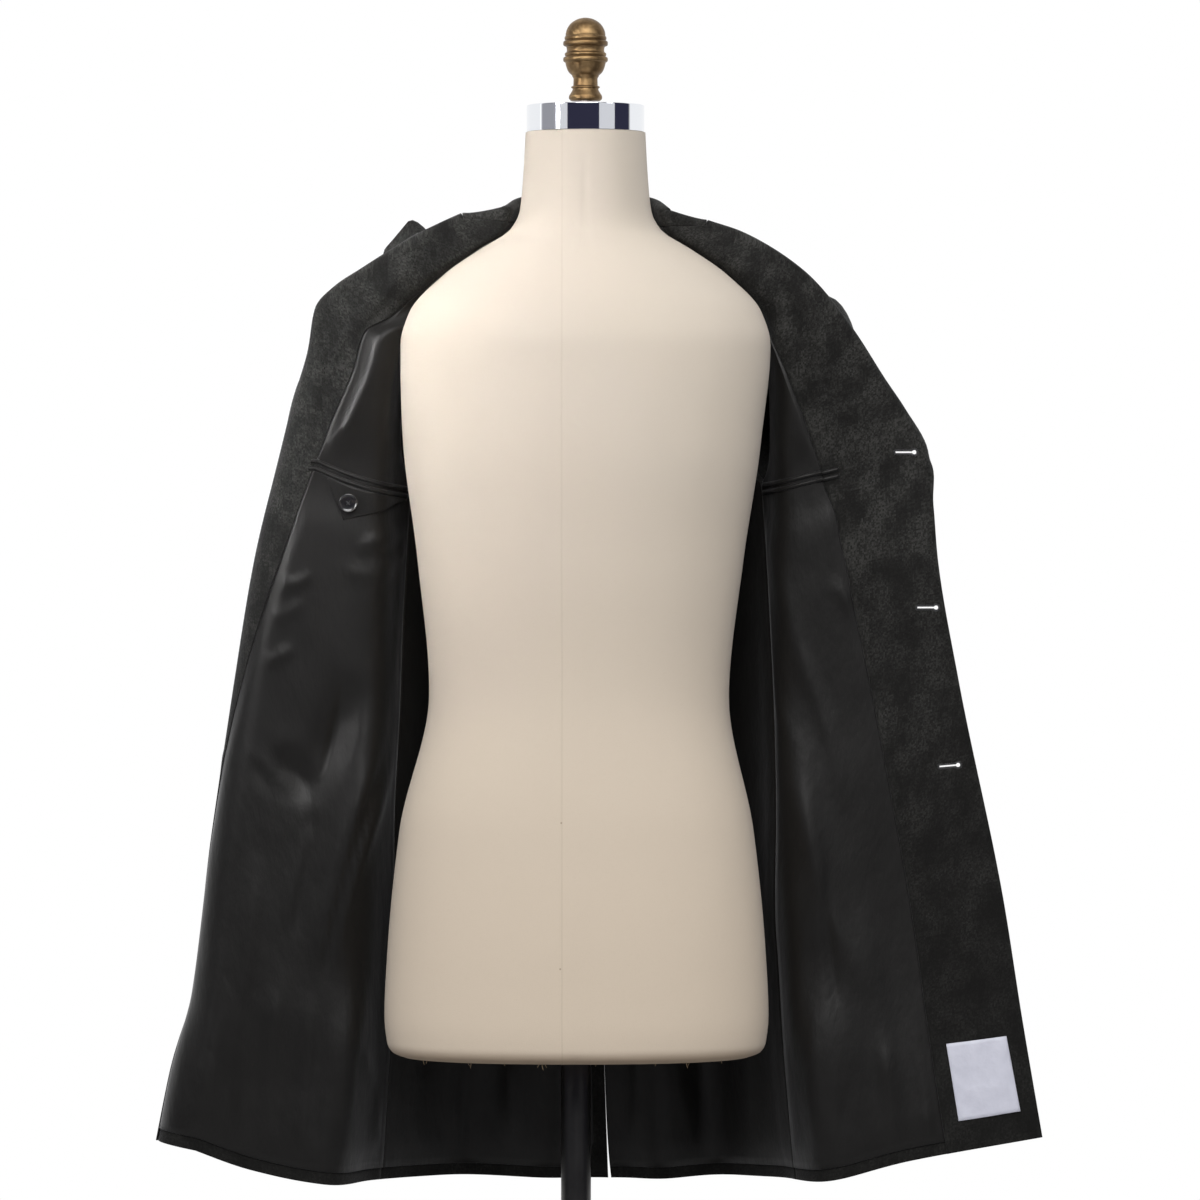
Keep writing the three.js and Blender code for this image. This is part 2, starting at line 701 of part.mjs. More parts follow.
/** A point on the armhole's edge, lifted clear of the cloth. */
function armholePoint(side, angle, lift) {
  const half = (armholeBottom - armholeTop) / 2;
  const down = armholeTop + half - half * Math.cos(angle);
  const row = clothRow(side, down);
  const facingStart = row.flat + wings[side]('seam', down);
  const seam = Math.min(sideSeam('cloth', down), facingStart - 14 - armholeHalfWidth * Math.abs(Math.sin(angle)));
  const place = row.path.at(seam + armholeHalfWidth * Math.sin(angle));
  return place.addScaledVector(sheetNormal(place.x, place.z), lift);
}

/** One piece of a sleeve, between two angles round it. */
function sleevePiece(side, from, to, cells) {
  const parting = 0.003;
  const angles = range(0, cells).map((i) => lerp(from + parting, to - parting, i / cells));
  const rings = [
    angles.map((angle) => armholePoint(side, angle, sleeveLift)),
    angles.map((angle) => armholePoint(side, angle, sleeveLift + sleeveStart)),
    ...sleeveSections.map((section, number) =>
      angles.map((angle) => sleevePoint(side, section, number, angle))),
  ];
  const middle = Math.floor(cells / 2);
  const facing = rings[6][middle].clone().sub(sleevePoint(side, sleeveSections[5], 5, (from + to) / 2 + Math.PI));
  const grid = { points: rings, normals: gridNormals(rings, { row: 6, column: middle, facing }) };
  return panel(grid, range(0, cells), [0, woolThick]);
}

const frontSleeveSeam = THREE.MathUtils.degToRad(72);
const backSleeveSeam = THREE.MathUtils.degToRad(-108);
for (const side of Object.keys(sides)) {
  addPiece(overcoat, `sleeve_upper_${side}`, sleevePiece(side, backSleeveSeam, frontSleeveSeam, 9), wool);
  addPiece(overcoat, `sleeve_under_${side}`,
    sleevePiece(side, frontSleeveSeam, backSleeveSeam + 2 * Math.PI, 8), wool);
}

// ---------------------------------------------------------------- what lies on the panels
/** A place on the grid at a fraction of a row and of a column, on the panels' own facets. */
function onGrid(grid, row, column, distance) {
  const r = Math.min(Math.floor(row), grid.points.length - 2);
  const c = Math.min(Math.floor(column), grid.points[0].length - 2);
  const corner = (dr, dc) => grid.points[r + dr][c + dc].clone()
    .addScaledVector(grid.normals[r + dr][c + dc], distance);
  const down = row - r;
  const across = column - c;
  const origin = corner(0, 0);
  const far = corner(1, 1);
  const near = across > down ? corner(0, 1) : corner(1, 0);
  const [major, minor] = across > down ? [across, down] : [down, across];
  return origin.clone()
    .addScaledVector(near.clone().sub(origin), major - minor)
    .addScaledVector(far.clone().sub(origin), minor);
}

/** The row and column at which the grid shows at a place in the front view. */
function findOnGrid(grid, x, z) {
  let best = { row: 0, column: 0, miss: Infinity };
  let reach = 1;
  const seen = range(0, rowCount).flatMap((row) =>
    range(sideFrontColumn, facingStartColumn + facingCells + 1).map((column) => [row, column]));
  let tries = seen;
  for (let pass = 0; pass < 14; pass += 1) {
    for (const [row, column] of tries) {
      const place = onGrid(grid, row, column, 0);
      const miss = Math.hypot(place.x - x, place.z - z);
      if (miss < best.miss) best = { row, column, miss };
    }
    tries = [-1, -0.5, 0, 0.5, 1].flatMap((dr) => [-1, -0.5, 0, 0.5, 1].map((dc) => [
      clamp(best.row + dr * reach, 0, rowCount), clamp(best.column + dc * reach, 0, edgeColumn)]));
    reach *= 0.6;
  }
  return best;
}

const restGap = 0.3;
const liningFace = -layerGap - liningThick - restGap;
const facingFace = -layerGap - woolThick - restGap;

/** Cloth laid on the inner side, from its top row to its foot row at each column. */
function laidStrip(grid, columns, topRow, footRow, cells, thick, lift = 0) {
  const [from, to] = columns;
  const whole = range(Math.ceil(from + 0.01), Math.floor(to - 0.01));
  const places = [from, ...whole.flatMap((c) => [c, c + 0.5]).filter((c) => c < to - 0.1), to];
  const layer = (extra) => range(0, cells).map((j) => places.map((column) => {
    const over = clamp((column - liningEndColumn + 0.5) / 0.4, 0, 1);
    const row = lerp(topRow(column), footRow(column), j / cells);
    return onGrid(grid, row, column, lerp(liningFace, facingFace, over) - lift - extra);
  }));
  return wallBetween(layer(0), layer(thick));
}

const jet = { width: 4.8, thick: 1.4, apart: 7.6 };
// The pocket mouth's row on the sheet, at the side seam and at its front end.
const pocketRow = { left: [8.95, 9.08], right: [8.82, 8.93] };
const pocketColumns = {
  left: [sideFrontColumn + 0.3, facingStartColumn + 1.3],
  right: [sideFrontColumn + 0.3, facingStartColumn + 0.6],
};
const pocketDrop = (side, drop, column) => {
  const [above, below] = sheet[side].points.slice(9, 11).map((row) => row[sideFrontColumn + 3]);
  const [from, to] = pocketColumns[side];
  const mouth = lerp(pocketRow[side][0], pocketRow[side][1], clamp((column - from) / (to - from), 0, 1));
  return mouth + drop / above.distanceTo(below);
};
for (const side of Object.keys(sides)) {
  const strip = (start) => laidStrip(sheet[side], pocketColumns[side],
    (column) => pocketDrop(side, start, column),
    (column) => pocketDrop(side, start + jet.width, column), 1, jet.thick);
  addPiece(overcoat, `jet_upper_${side}`, strip(0), satinLining);
  addPiece(overcoat, `jet_lower_${side}`, strip(jet.apart), satinLining);
}

const tab = {
  columns: [sideFrontColumn + 0.4, sideFrontColumn + 5.2],
  tip: sideFrontColumn + 4,
  tipRow: 9.98,
  least: 0.04,
};
const tabTop = (column) => pocketDrop('left', jet.apart + jet.width + 0.6, column);
const tabFoot = (column) => {
  const share = column > tab.tip
    ? (tab.columns[1] - column) / (tab.columns[1] - tab.tip)
    : ((column - tab.columns[0]) / (tab.tip - tab.columns[0])) ** 1.5;
  return lerp(tabTop(column) + tab.least, tab.tipRow, share);
};
addPiece(overcoat, 'pocket_tab',
  laidStrip(sheet.left, tab.columns, tabTop, tabFoot, 2, 1.1, 0.5), satinLining);

/** A flat piece laid on the inner side of a wing, from four corners in the front view. */
function laidPiece(grid, corners, cells, near, thick) {
  const [topLeft, topRight, footRight, footLeft] = corners;
  const layer = (distance) => range(0, cells[1]).map((j) => range(0, cells[0]).map((i) => {
    const u = i / cells[0];
    const v = j / cells[1];
    const x = lerp(lerp(topLeft[0], topRight[0], u), lerp(footLeft[0], footRight[0], u), v);
    const z = lerp(lerp(topLeft[1], topRight[1], u), lerp(footLeft[1], footRight[1], u), v);
    const { row, column } = findOnGrid(grid, x, z);
    return onGrid(grid, row, column, distance);
  }));
  return wallBetween(layer(near), layer(near - thick));
}

addPiece(overcoat, 'label',
  laidPiece(sheet.right, [[371, 602], [431, 610], [445, 535], [383, 525]], [4, 4], facingFace - 0.3, 0.8), labelSatin);

// The vent's facing: a wool strip inside the left back, along the vent.
const ventRows = range(0, 10).map((i) => lerp(15.6, 20.7, i / 10));
const ventLayer = (distance) => ventRows.map((row) => [0.02, 0.24, 0.46]
  .map((column) => onGrid(sheet.left, row, column, distance)));
addPiece(overcoat, 'vent_facing', wallBetween(ventLayer(liningFace), ventLayer(liningFace - 1.2)), wool);

// ---------------------------------------------------------------- buttons
const threadShank = { width: 2.2, length: 3 };

/** A coat button's body on its thread shank: a dished disc with a raised rim. */
function buttonShape(radius, thick) {
  const { width, length } = threadShank;
  return turnedSolid([
    [0, 0], [width, 0], [width, length], [radius * 0.72, length], [radius, length + thick * 0.45],
    [radius * 0.86, length + thick], [radius * 0.7, length + thick * 0.72], [0, length + thick * 0.66],
  ], 12).rotateX(-Math.PI / 2);
}

/** Sews a button on at a place on the grid, facing along or against its normals. */
function addButton(name, grid, row, column, radius, thick, distance) {
  const place = onGrid(grid, row, column, distance);
  const step = 0.02;
  const across = onGrid(grid, row, column + step, distance).sub(place);
  const down = onGrid(grid, row + step, column, distance).sub(place);
  const outward = place.clone().sub(onGrid(grid, row, column, 0));
  const facing = across.cross(down).normalize();
  if (facing.dot(outward) < 0) facing.negate();
  const mesh = addPiece(overcoat, name, buttonShape(radius, thick), horn);
  mesh.position.copy(place);
  mesh.quaternion.setFromUnitVectors(backward, facing);
}

const frontButton = { radius: 11.5, thick: 4, fromEdge: 38, heights: [1201, 1042, 882] };
const columnAt = (grid, row, fromEdge) => {
  const places = grid.places[Math.round(row)];
  const cloth = places.at(-1) - fromEdge;
  const c = places.findIndex((place) => place > cloth) - 1;
  return c + (cloth - places[c]) / (places[c + 1] - places[c]);
};
frontButton.heights.forEach((height, i) => {
  const edge = sheet.left.points.map((row) => row[edgeColumn].z);
  const r = edge.findIndex((z) => z < height) - 1;
  const row = r + (edge[r] - height) / (edge[r] - edge[r + 1]);
  addButton(`front_button_${i + 1}`, sheet.left, row, columnAt(sheet.left, row, frontButton.fromEdge),
    frontButton.radius, frontButton.thick, outerWool[1] + restGap);
});
const tabPlace = findOnGrid(sheet.left, -229, 1144);
addButton('tab_button', sheet.left, tabPlace.row, tabPlace.column, 9.6, 3, liningFace - 1.1 - 0.5 - restGap);

// ---------------------------------------------------------------- dress form and stand
const formSegments = 32;
const formHeights = [592, 596, 604, 632, 690, 760, 830, 890, 952, 1020, 1087, 1150, 1205,
  1255, 1302, 1335, 1356, 1373, 1387, 1399, 1410, 1420, 1436, 1477, formTop];

function formRing(height) {
  const half = form('half', height);
  const deep = form('deep', height);
  const power = 2 / form('square', height);
  return range(0, formSegments - 1).map((i) => {
    const angle = (2 * Math.PI * i) / formSegments;
    const across = Math.cos(angle);
    const back = Math.sin(angle);
    return new THREE.Vector3(
      form('centre', height) + half * Math.sign(across) * Math.abs(across) ** power,
      form('middle', height) + deep * Math.sign(back) * Math.abs(back) ** power,
      height,
    );
  });
}

addPiece(dressForm, 'form_body', loftedSolid(formHeights.map(formRing)), canvas);

const neckAxis = { x: form('centre', formTop), y: form('middle', formTop) };
const capHeight = 27;
const capBottom = formTop + seamGap;
const cap = addPiece(dressForm, 'form_cap', turnedSolid([
  [0, 0], [58.6, 0], [59, 0.6], [59, capHeight - 0.8], [58.2, capHeight], [0, capHeight],
], 36), chrome);
cap.position.set(neckAxis.x, neckAxis.y, capBottom);

const studHeight = 4;
const studBottom = capBottom + capHeight + seamGap;
const stud = addPiece(dressForm, 'finial_stud', turnedSolid([
  [0, 0], [6.5, 0], [6.5, studHeight], [0, studHeight],
], 20), chrome);
stud.position.set(neckAxis.x, neckAxis.y, studBottom);

const finial = addPiece(dressForm, 'finial', turnedSolid([
  [0, 0], [14.5, 0], [16.8, 2.4], [16.4, 5], [13.4, 10], [12.8, 12.4], [14.2, 13.6], [12.4, 14.8],
  [12.2, 23], [13.4, 25], [17.6, 31], [20.4, 37], [21.7, 41], [21.7, 45], [19.8, 47.6],
  [19.8, 52.6], [22.5, 56], [22.5, 62.4], [19.8, 65.4], [19.2, 70.4], [15.6, 77], [0, 83.2],
], 20), brass);
finial.position.set(neckAxis.x, neckAxis.y, studBottom + studHeight + seamGap);

addPiece(dressForm, 'stand_pole', turnedSolid([
  [0, baseHeight + seamGap], [poleRadius, baseHeight + seamGap],
  [poleRadius, formBottom - seamGap], [0, formBottom - seamGap],
], 24), darkMetal);

addPiece(dressForm, 'stand_base', turnedSolid([
  [0, 0], [baseRadius - 3, 0], [baseRadius, 3], [baseRadius, 9], [baseRadius - 5, 13.5],
  [120, 19], [40, 22], [30, 24], [27, baseHeight], [0, baseHeight],
], 32), darkMetal);

const part = new THREE.Group();
part.add(overcoat, dressForm);
export default part;
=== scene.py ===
"""A wool overcoat held open on a limbless dress form, dressed on its frame."""
import math
import bpy
import numpy as np
from mathutils import Matrix, Vector


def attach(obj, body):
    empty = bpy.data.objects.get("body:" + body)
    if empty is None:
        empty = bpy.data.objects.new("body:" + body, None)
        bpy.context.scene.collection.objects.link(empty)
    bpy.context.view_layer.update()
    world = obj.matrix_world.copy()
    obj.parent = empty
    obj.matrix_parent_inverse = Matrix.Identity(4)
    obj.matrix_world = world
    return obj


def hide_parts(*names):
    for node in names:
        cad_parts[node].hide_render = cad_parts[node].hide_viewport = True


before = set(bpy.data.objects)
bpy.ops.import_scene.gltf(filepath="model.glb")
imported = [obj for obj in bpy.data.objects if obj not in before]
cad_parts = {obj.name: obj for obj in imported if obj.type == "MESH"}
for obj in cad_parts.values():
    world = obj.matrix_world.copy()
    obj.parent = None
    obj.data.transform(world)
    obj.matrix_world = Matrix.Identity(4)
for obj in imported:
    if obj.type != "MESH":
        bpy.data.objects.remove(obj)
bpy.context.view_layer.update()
MM = 0.001

# ------------------------------------------------------------------ camera
EYE = Vector((0.024, -6.0, 1.150))
FRAME_WIDTH = 1.2
FRAME_MIDDLE = 1.047
sight = bpy.data.cameras.new("sight")
sight.sensor_width = 36
sight.lens = 36 * -EYE.y / FRAME_WIDTH
sight.shift_y = (FRAME_MIDDLE - EYE.z) / FRAME_WIDTH
sight.clip_end = 60


def new_object(name, data):
    made = bpy.data.objects.new(name, data)
    bpy.context.collection.objects.link(made)
    return made


camera = new_object("camera", sight)
camera.location = EYE
camera.rotation_euler = (math.radians(90), 0, 0)
bpy.context.scene.camera = camera


# ------------------------------------------------------------------ shader maths
class Wire:
    """A shader socket that Python's own arithmetic works on."""

    def __init__(self, finish, socket):
        self.finish, self.socket = finish, socket

    def _math(self, operation, *values):
        return self.finish.add("ShaderNodeMath", {"operation": operation}, dict(enumerate(values)))

    def __add__(self, other): return self._math("ADD", self, other)
    def __radd__(self, other): return self._math("ADD", other, self)
    def __sub__(self, other): return self._math("SUBTRACT", self, other)
    def __rsub__(self, other): return self._math("SUBTRACT", other, self)
    def __mul__(self, other): return self._math("MULTIPLY", self, other)
    def __rmul__(self, other): return self._math("MULTIPLY", other, self)
    def __pow__(self, other): return self._math("POWER", self, other)
    def __abs__(self): return self._math("ABSOLUTE", self)
    def sine(self): return self._math("SINE", self)
    def least(self, other): return self._math("MINIMUM", self, other)

    def step(self, low, high):
        """Rises smoothly from 0 at low to 1 at high."""
        return self.finish.add("ShaderNodeMapRange", {"interpolation_type": "SMOOTHSTEP"},
                               {"Value": self, "From Min": low, "From Max": high})


class Finish:
    """A material under a plain name, built node by node."""

    def __init__(self, name, **fixed):
        self.material = bpy.data.materials.new(name)
        self.material.use_nodes = True
        self.tree = self.material.node_tree
        self.surface = self.tree.nodes["Principled BSDF"]
        self.set(**fixed)

    def set(self, **values):
        for name, value in values.items():
            self._plug(self.surface.inputs[name.replace("_", " ")], value)
        return self

    def _plug(self, socket, value):
        if isinstance(value, Wire):
            self.tree.links.new(value.socket, socket)
        elif socket.type == "RGBA" and len(value) == 3:
            socket.default_value = (*value, 1)
        else:
            socket.default_value = value

    def add(self, kind, settings=None, inputs=None, output=None):
        """Adds one node: its settings first, then the values or wires of its sockets."""
        node = self.tree.nodes.new(kind)
        for name, value in (settings or {}).items():
            if name == "stops":
                while len(node.color_ramp.elements) < len(value):
                    node.color_ramp.elements.new(0.5)
                for element, (position, colour) in zip(node.color_ramp.elements, value):
                    element.position, element.color = position, (*colour, 1)
            else:
                setattr(node, name, value)
        for name, value in (inputs or {}).items():
            self._plug(node.inputs[name], value)
        if output is None:
            output = next(i for i, socket in enumerate(node.outputs) if socket.enabled)
        return Wire(self, node.outputs[output])

    def place(self):
        return self.add("ShaderNodeTexCoord", output="Object")

    def cloth(self):
        """The cloth's own metres, across and down, from the piece's UV map."""
        return self.add("ShaderNodeUVMap", {"uv_map": "cloth"})

    def parts(self, vector):
        split = self.add("ShaderNodeSeparateXYZ", None, {"Vector": vector})
        node = split.socket.node
        return [Wire(self, node.outputs[axis]) for axis in "XYZ"]

    def scaled(self, vector, scale):
        return self.add("ShaderNodeVectorMath", {"operation": "MULTIPLY"}, {0: vector, 1: scale})

    def noise(self, vector, scale, detail=2.0, roughness=0.5):
        return self.add("ShaderNodeTexNoise", None, {
            "Vector": vector, "Scale": scale, "Detail": detail, "Roughness": roughness})

    def blend(self, share, one, other):
        return self.add("ShaderNodeMix", {"data_type": "RGBA"}, {0: share, 6: one, 7: other}, output=2)

    def bump(self, height, distance, strength=1.0, under=None):
        inputs = {"Height": height, "Distance": distance, "Strength": strength}
        if under is not None:
            inputs["Normal"] = under
        return self.add("ShaderNodeBump", None, inputs)


# ------------------------------------------------------------------ finishes, in metres
TOOTH_SIZE, BLOCK_SIZE, CHECK_REPEAT = (0.0017, 0.0019, 1), (0.0052, 0.0056, 1), (0.062, 0.088)
THREAD_PITCH = 0.0011
COVER_SEAM_X = -0.0135
COVER_PINS = ((-0.014, 0.830), (-0.015, 0.687))


def make_wool():
    """Brushed black wool, with small charcoal checks gathered in soft, broken patches."""
    wool = Finish("brushed_wool", Sheen_Weight=0.10, Sheen_Roughness=0.4,
                  Sheen_Tint=(0.78, 0.78, 0.80), Specular_IOR_Level=0.16)
    cloth = wool.cloth()
    tooth, block = (wool.add("ShaderNodeVectorMath", {"operation": "SNAP"}, {0: cloth, 1: size})
                    for size in (TOOTH_SIZE, BLOCK_SIZE))
    across, down, _ = wool.parts(block)
    turns_across, turns_down = (2 * math.pi / repeat for repeat in CHECK_REPEAT)
    check = (across * turns_across).sine() * 0.5 + (down * turns_down + across * 30).sine() * 0.4
    gathered = wool.noise(wool.scaled(block, (40.0, 30.0, 1.0)), 1.0, 3.0, 0.6)
    patch = (check * 0.07 + gathered).step(0.30, 0.70)
    teeth = wool.noise(wool.scaled(tooth, (870.0, 790.0, 1.0)), 1.0, 0.0).step(0.30, 0.74)
    fleck = wool.noise(cloth, 800.0, 3.0, 0.6).step(0.36, 0.68)
    broad = wool.noise(cloth, 7.0, 3.0).step(0.3, 0.7)
    # Painted light and shade: the light yarns are strengthened towards the shoulders and faded towards the hem,
    # standing in for light that falls off downwards; the patches also fade out lower down.
    low = (0 - down).step(0.10, 0.95)
    light = patch * (teeth * 0.50 + fleck * 0.34) * (broad * 0.5 + 0.6)
    light = (light + teeth * fleck * 0.14 + broad * 0.06) * (1.62 - low * 1.12)
    colour = wool.blend(light.least(1.0), (0.0058, 0.0056, 0.0051), (0.0370, 0.0365, 0.0335))
    yarn = wool.noise(wool.scaled(cloth, (1500.0, 420.0, 1.0)), 1.0, 2.0)
    nap = wool.noise(wool.scaled(cloth, (520.0, 260.0, 1.0)), 1.0, 4.0, 0.65)
    soft = wool.bump(nap + yarn * 0.4, 0.0009, 0.6)
    wool.set(Base_Color=colour, Roughness=0.94 - light * 0.1, Normal=soft)
    return wool.material


def make_lining():
    """Black satin with a cool sheen, its fine weave just seen close to."""
    satin = Finish("satin_lining", Sheen_Weight=0.14, Sheen_Roughness=0.4, Sheen_Tint=(0.9, 0.9, 0.92),
                   Specular_IOR_Level=0.25, Specular_Tint=(1.0, 0.99, 0.98))
    cloth = satin.cloth()
    float_yarns = satin.noise(satin.scaled(cloth, (2600.0, 180.0, 1.0)), 1.0, 2.0)
    pressed = satin.noise(cloth, 22.0, 4.0, 0.6)
    small = satin.bump(satin.noise(satin.scaled(cloth, (46.0, 20.0, 1.0)), 1.0, 4.0, 0.55), 0.0040, 0.32)
    fine = satin.bump(float_yarns, 0.0001, 0.35, under=small)
    satin.set(Base_Color=satin.blend(pressed, (0.0056, 0.0052, 0.0047), (0.0084, 0.0079, 0.0072)),
              Roughness=0.36 + pressed * 0.12 + float_yarns * 0.04, Normal=fine)
    return satin.material


def make_canvas():
    """Cream canvas, pulled tight over the form, browner towards its lower edge."""
    canvas = Finish("form_canvas", Sheen_Weight=0.1, Sheen_Roughness=0.5, Specular_IOR_Level=0.2)
    place = canvas.place()
    x, y, z = canvas.parts(place)
    weave_scale = 2 * math.pi / THREAD_PITCH
    around = canvas.add("ShaderNodeMath", {"operation": "ARCTAN2"}, {0: x, 1: 0 - y}) * 0.16
    weave = (around * weave_scale).sine() * (z * weave_scale).sine()
    slub = canvas.noise(canvas.scaled(place, (260.0, 260.0, 1500.0)), 1.0, 2.0)
    slub_up = canvas.noise(canvas.scaled(place, (1500.0, 1500.0, 240.0)), 1.0, 2.0)
    mottled = canvas.noise(place, 9.0, 4.0, 0.55)
    # Painted shade: the canvas is darker at the top and lighter towards the foot, evening out light that is stronger
    # at the top; the foot's warmer tone is the canvas's own.
    low = 1 - z.step(0.60, 1.36)
    tone = canvas.blend(low, (0.500, 0.446, 0.378), (0.620, 0.525, 0.415))
    tone = canvas.blend(mottled * 0.28, tone, (0.600, 0.505, 0.390))
    tone = canvas.blend((slub + slub_up).step(1.0, 1.5) * 0.22, tone, (0.50, 0.42, 0.31))
    edge = 1 - z.step(0.593, 0.606 + mottled * 0.004)
    tone = canvas.blend(edge * 0.62, tone, (0.20, 0.12, 0.055))
    seam_width = abs(x - COVER_SEAM_X)
    front = (0 - y).step(0.0, 0.02)
    seam = (1 - seam_width.step(0.0004, 0.0012)) * front
    tone = canvas.blend(seam * 0.12, tone, (0.30, 0.24, 0.16))
    for pin_x, pin_z in COVER_PINS:
        hole = 1 - ((x - pin_x) ** 2 + (z - pin_z) ** 2).step(0.0000003, 0.0000016)
        tone = canvas.blend(hole * front * 0.55, tone, (0.20, 0.14, 0.08))
    height = weave * 0.35 + slub * 0.6 + slub_up * 0.6 - seam * 0.7
    canvas.set(Base_Color=tone, Roughness=0.86 + mottled * 0.08, Normal=canvas.bump(height, 0.0003, 0.5))
    return canvas.material


def make_chrome():
    chrome = Finish("polished_chrome", Metallic=1.0, Base_Color=(0.83, 0.85, 0.88))
    haze = chrome.noise(chrome.place(), 60.0, 3.0)
    chrome.set(Roughness=0.035 + haze * 0.03)
    return chrome.material


def make_brass():
    """Turned brass gone brown, satin where it has been handled."""
    brass = Finish("aged_brass", Metallic=1.0)
    place = brass.place()
    _, _, z = brass.parts(place)
    cloud = brass.noise(place, 95.0, 5.0, 0.6)
    turning = brass.noise(brass.scaled(place, (6.0, 6.0, 2600.0)), 1.0, 2.0)
    colour = brass.blend(cloud.step(0.35, 0.7), (0.150, 0.092, 0.042), (0.265, 0.175, 0.084))
    colour = brass.blend(turning.step(0.5, 0.72) * 0.35, colour, (0.09, 0.053, 0.025))
    brass.set(Base_Color=colour, Roughness=0.36 + cloud * 0.18,
              Normal=brass.bump(turning + cloud * 0.6, 0.0002, 0.4))
    return brass.material


def make_dark_metal():
    metal = Finish("blackened_steel", Metallic=0.9)
    place = metal.place()
    brushed = metal.noise(metal.scaled(place, (900.0, 900.0, 22.0)), 1.0, 2.0)
    worn = metal.noise(place, 14.0, 5.0, 0.6)
    metal.set(Base_Color=metal.blend(worn, (0.035, 0.034, 0.034), (0.085, 0.083, 0.08)),
              Roughness=0.24 + brushed * 0.12 + worn * 0.06, Normal=metal.bump(brushed, 0.00006, 0.4))
    return metal.material


def make_horn():
    """Polished black horn, streaked with brown deep in it."""
    horn = Finish("black_horn", Coat_Weight=0.6, Coat_Roughness=0.06, Specular_IOR_Level=0.6)
    place = horn.place()
    streak = horn.noise(horn.scaled(place, (60.0, 60.0, 420.0)), 1.0, 4.0, 0.6)
    horn.set(Base_Color=horn.blend(streak.step(0.45, 0.75), (0.006, 0.006, 0.007), (0.030, 0.024, 0.020)),
             Roughness=0.16 + streak * 0.12)
    return horn.material


def make_label():
    """White satin tape, left blank."""
    tape = Finish("label_tape", Sheen_Weight=0.2, Specular_IOR_Level=0.5)
    cloth = tape.cloth()
    ribs = tape.noise(tape.scaled(cloth, (300.0, 3200.0, 1.0)), 1.0, 2.0)
    crumple = tape.noise(cloth, 55.0, 3.0)
    tape.set(Base_Color=tape.blend(crumple, (0.48, 0.485, 0.56), (0.66, 0.665, 0.74)),
             Roughness=0.42 + ribs * 0.1, Normal=tape.bump(crumple * 3.0 + ribs * 0.4, 0.0007, 0.5))
    return tape.material


def make_thread(name, colour):
    thread = Finish(name, Sheen_Weight=0.3, Specular_IOR_Level=0.4)
    twist = thread.noise(thread.place(), 3800.0, 2.0)
    thread.set(Base_Color=thread.blend(twist, tuple(0.6 * c for c in colour), colour),
               Roughness=0.55 + twist * 0.2, Normal=thread.bump(twist, 0.0001, 0.5))
    return thread.material


WOOL = make_wool()
LINING = make_lining()
CANVAS = make_canvas()
CHROME = make_chrome()
BRASS = make_brass()
DARK_METAL = make_dark_metal()
HORN = make_horn()
LABEL = make_label()
THREAD = make_thread("black_silk_thread", (0.022, 0.022, 0.024))
CANVAS_THREAD = make_thread("canvas_thread", (0.34, 0.24, 0.13))


# ------------------------------------------------------------------ hand tools
def use(*pieces, mode="OBJECT"):
    """Puts everything down and takes up only these pieces."""
    if bpy.context.object and bpy.context.object.mode != "OBJECT":
        bpy.ops.object.mode_set(mode="OBJECT")
    bpy.ops.object.select_all(action="DESELECT")
    for piece in pieces:
        piece.select_set(True)
    bpy.context.view_layer.objects.active = pieces[0]
    if mode != "OBJECT":
        bpy.ops.object.mode_set(mode=mode)


def pick(piece, kind, chosen):
    """Selects, in edit mode, the faces, edges or vertices that a test chooses."""
    use(piece, mode="EDIT")
    bpy.ops.mesh.select_mode(type=kind)
    bpy.ops.mesh.select_all(action="DESELECT")
    bpy.ops.object.mode_set(mode="OBJECT")
    items = {"FACE": piece.data.polygons, "EDGE": piece.data.edges, "VERT": piece.data.vertices}[kind]
    for item in items:
        item.select = bool(chosen(item))
    bpy.ops.object.mode_set(mode="EDIT")


def settle(piece):
    """Leaves the object at the origin, with its place in its mesh."""
    use(piece)
    bpy.ops.object.transform_apply(location=True, rotation=True, scale=True)
    return piece


def face_outward(piece):
    use(piece, mode="EDIT")
    bpy.ops.mesh.select_all(action="SELECT")
    bpy.ops.mesh.normals_make_consistent(inside=False)
    bpy.ops.object.mode_set(mode="OBJECT")


def cut_away(piece, name, tool):
    """Cuts one piece's shape out of another, and leaves the tool for the next cut."""
    cut = piece.modifiers.new(name, "BOOLEAN")
    cut.operation, cut.solver, cut.object = "DIFFERENCE", "EXACT", tool
    use(piece)
    bpy.ops.object.modifier_apply(modifier=cut.name)


def put_away(*pieces):
    for piece in pieces:
        bpy.data.objects.remove(piece, do_unlink=True)


def copy_to(piece, matrix):
    """A copy of a piece, its mesh moved by a matrix."""
    copy = piece.copy()
    copy.data = piece.data.copy()
    copy.data.transform(matrix)
    bpy.context.collection.objects.link(copy)
    return copy


def in_steps(strand, cuts):
    """A straight strand with rings cut along it, so that it can bend."""
    settle(strand)
    use(strand, mode="EDIT")
    bpy.ops.mesh.select_all(action="SELECT")
    bpy.ops.mesh.subdivide(number_cuts=cuts)
    bpy.ops.object.mode_set(mode="OBJECT")
    return strand


def joined(pieces):
    use(*pieces)
    bpy.ops.object.join()
    return bpy.context.object


def finish_piece(piece, name, material, replaces=(), smooth=None):
    piece.name = piece.data.name = name
    piece.data.materials.clear()
    piece.data.materials.append(material)
    if smooth is not None:
        use(piece)
        bpy.ops.object.shade_smooth_by_angle(angle=math.radians(smooth))
    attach(piece, "root")
    if replaces:
        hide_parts(*replaces)
    return piece


